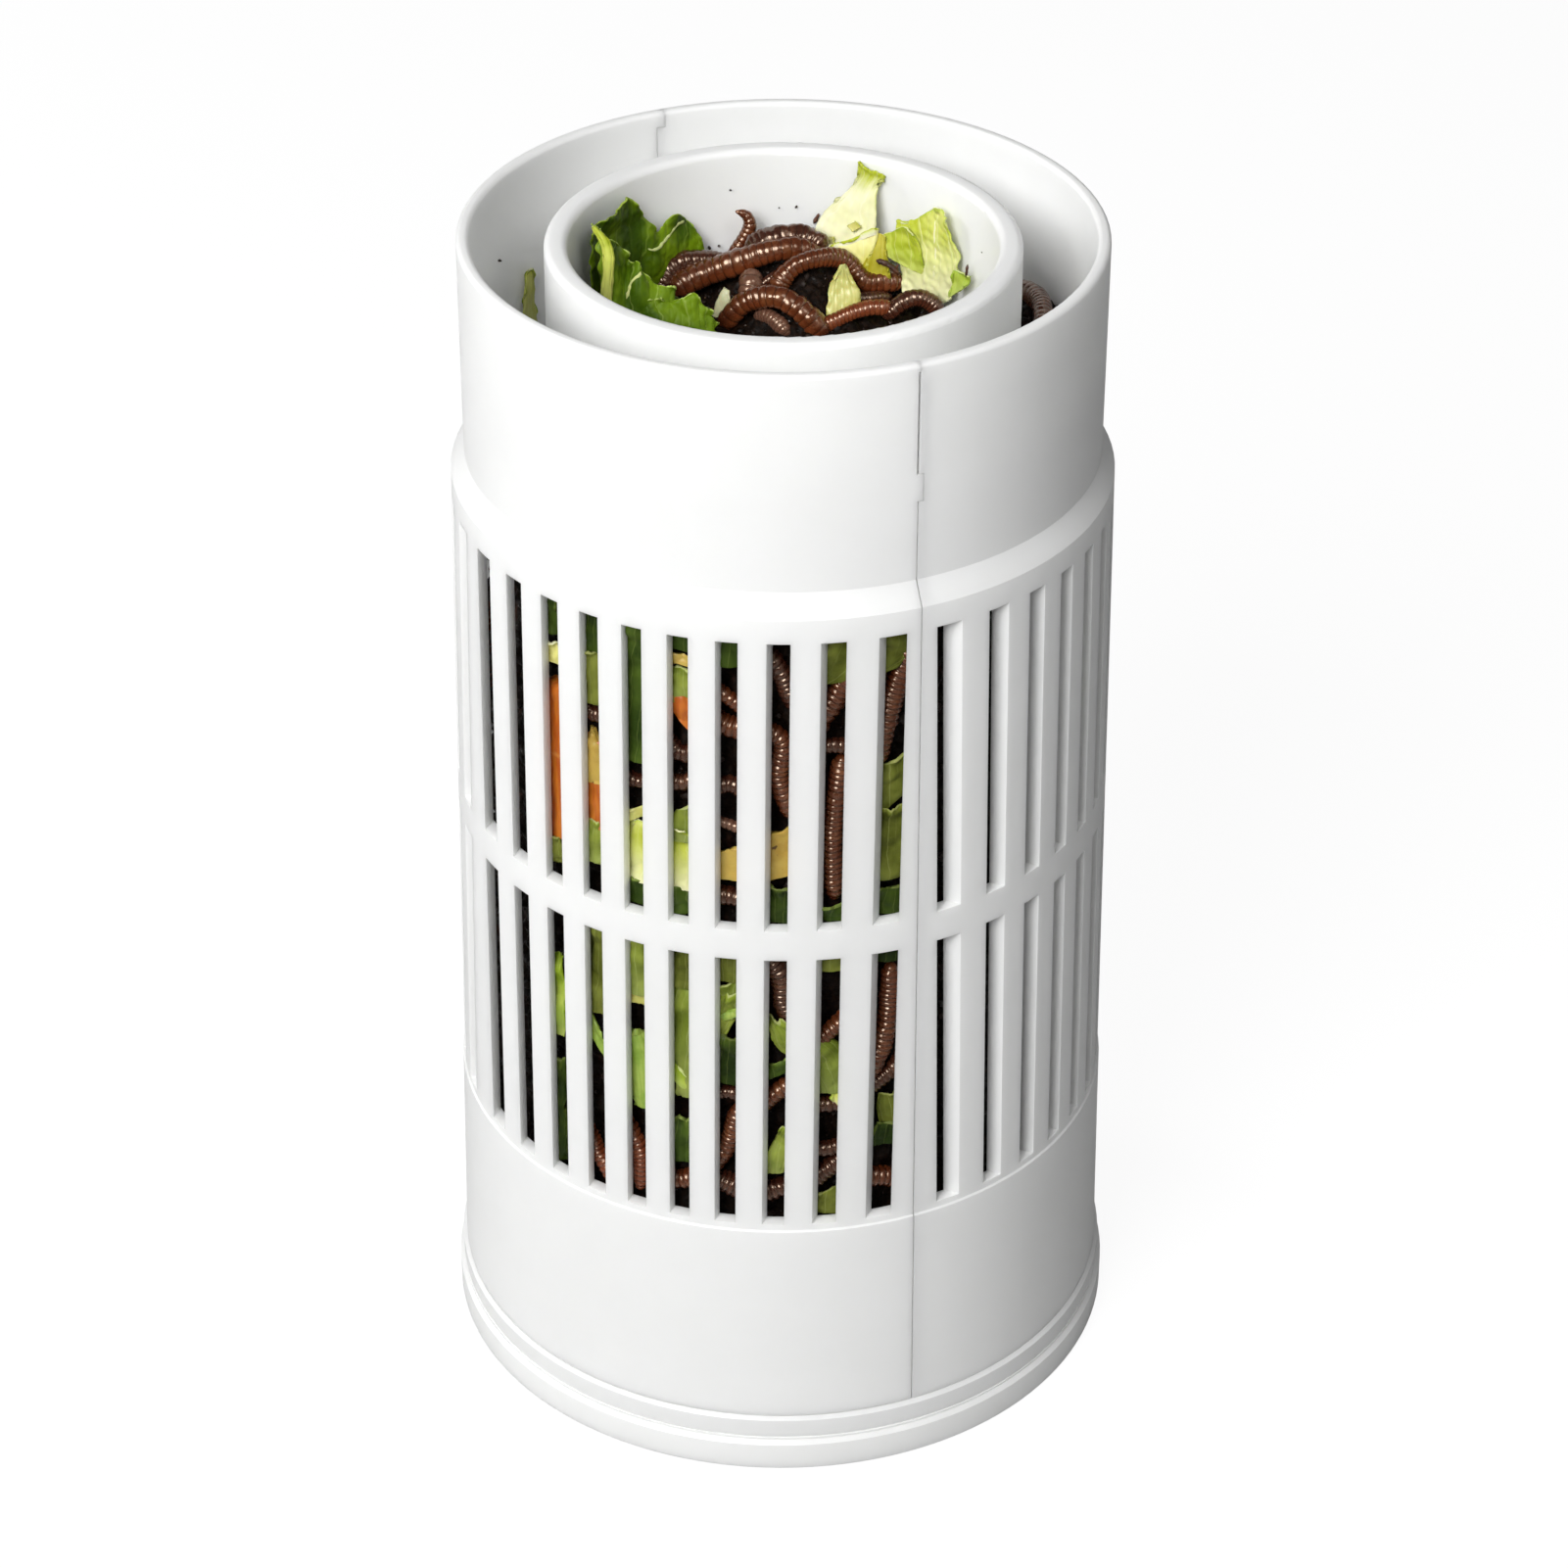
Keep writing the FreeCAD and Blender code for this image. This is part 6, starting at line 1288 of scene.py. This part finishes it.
def stage_floor():
    """A pale floor that shows white to the camera and still takes the wormery's shadow: a flat square."""
    grid = np.array([[(x, y, FLOOR_TOP) for x in (-FLOOR_REACH, FLOOR_REACH)]
                     for y in (-FLOOR_REACH, FLOOR_REACH)])
    mesh = grid_mesh("floor", grid, np.arange(2.0), np.arange(2.0))
    floor = bpy.data.objects.new("floor", mesh)
    bpy.context.scene.collection.objects.link(floor)
    f = Finish("floor_pale", Roughness=0.9, Specular_IOR_Level=0.1)
    f.shader.inputs["Base Color"].default_value = (FLOOR_GREY, FLOOR_GREY, FLOOR_GREY, 1)
    path = f.add("ShaderNodeLightPath")
    glow = f.add("ShaderNodeEmission")
    glow.inputs["Strength"].default_value = FLOOR_GLOW
    blend = f.add("ShaderNodeMixShader")
    f.put(blend.inputs[0], f.calc("MULTIPLY", path.outputs["Is Camera Ray"], FLOOR_GLOW_SHARE))
    f.put(blend.inputs[1], f.shader.outputs[0])
    f.put(blend.inputs[2], glow.outputs[0])
    f.put(f.tree.nodes["Material Output"].inputs["Surface"], blend.outputs[0])
    mesh.materials.append(f.material)


def area_light(name, place, target, size, power):
    """A round soft lamp at a place, turned to a target."""
    lamp = bpy.data.lights.new(name, "AREA")
    lamp.shape = "DISK"
    lamp.size = size
    lamp.energy = power
    holder = bpy.data.objects.new(name, lamp)
    bpy.context.scene.collection.objects.link(holder)
    holder.location = place
    holder.rotation_mode = "QUATERNION"
    way = Vector(np.array(target) - np.array(place))
    holder.rotation_quaternion = way.to_track_quat("-Z", "Y")


def studio():
    """The world, dim for the object and white for the camera, and the lamps round the object."""
    world = bpy.data.worlds.new("studio")
    bpy.context.scene.world = world
    world.use_nodes = True
    nodes, links = world.node_tree.nodes, world.node_tree.links
    back = nodes["Background"]
    path = nodes.new("ShaderNodeLightPath")
    level = nodes.new("ShaderNodeMapRange")
    level.inputs["To Min"].default_value = FILL
    level.inputs["To Max"].default_value = 1.0
    links.new(path.outputs["Is Camera Ray"], level.inputs["Value"])
    links.new(level.outputs[0], back.inputs["Strength"])
    back.inputs["Color"].default_value = (1, 1, 1, 1)
    for name, azimuth, rise, power, size in LAMPS:
        azimuth, rise = math.radians(azimuth), math.radians(rise)
        place = (LAMP_AWAY * math.sin(azimuth) * math.cos(rise),
                 -LAMP_AWAY * math.cos(azimuth) * math.cos(rise), AIM[2] + LAMP_AWAY * math.sin(rise))
        area_light(name, place, AIM, size, power)


# The photograph's camera: lens and sensor in millimetres, place in metres, angles in radians
SENSOR, LENS, SHIFT = 36.0, 100.72, 0.00132
CAMERA_PLACE = (0.0, -0.91776, 0.724667)
CAMERA_FALL, CAMERA_ROLL = 0.561, 0.003


def camera():
    """The camera of the photograph: its place, its fall below the horizon and its field of view."""
    data = bpy.data.cameras.new("camera")
    data.sensor_width = SENSOR
    data.lens = LENS
    data.shift_x = SHIFT
    view = bpy.data.objects.new("camera", data)
    bpy.context.scene.collection.objects.link(view)
    view.location = CAMERA_PLACE
    view.rotation_euler = (math.pi / 2 - CAMERA_FALL, 0.0, 0.0)
    view.rotation_euler.rotate_axis("Z", CAMERA_ROLL)
    data.clip_start, data.clip_end = 0.05, 20
    bpy.context.scene.camera = view


stage_floor()
studio()
camera()
bpy.context.scene.view_settings.view_transform = "Standard"
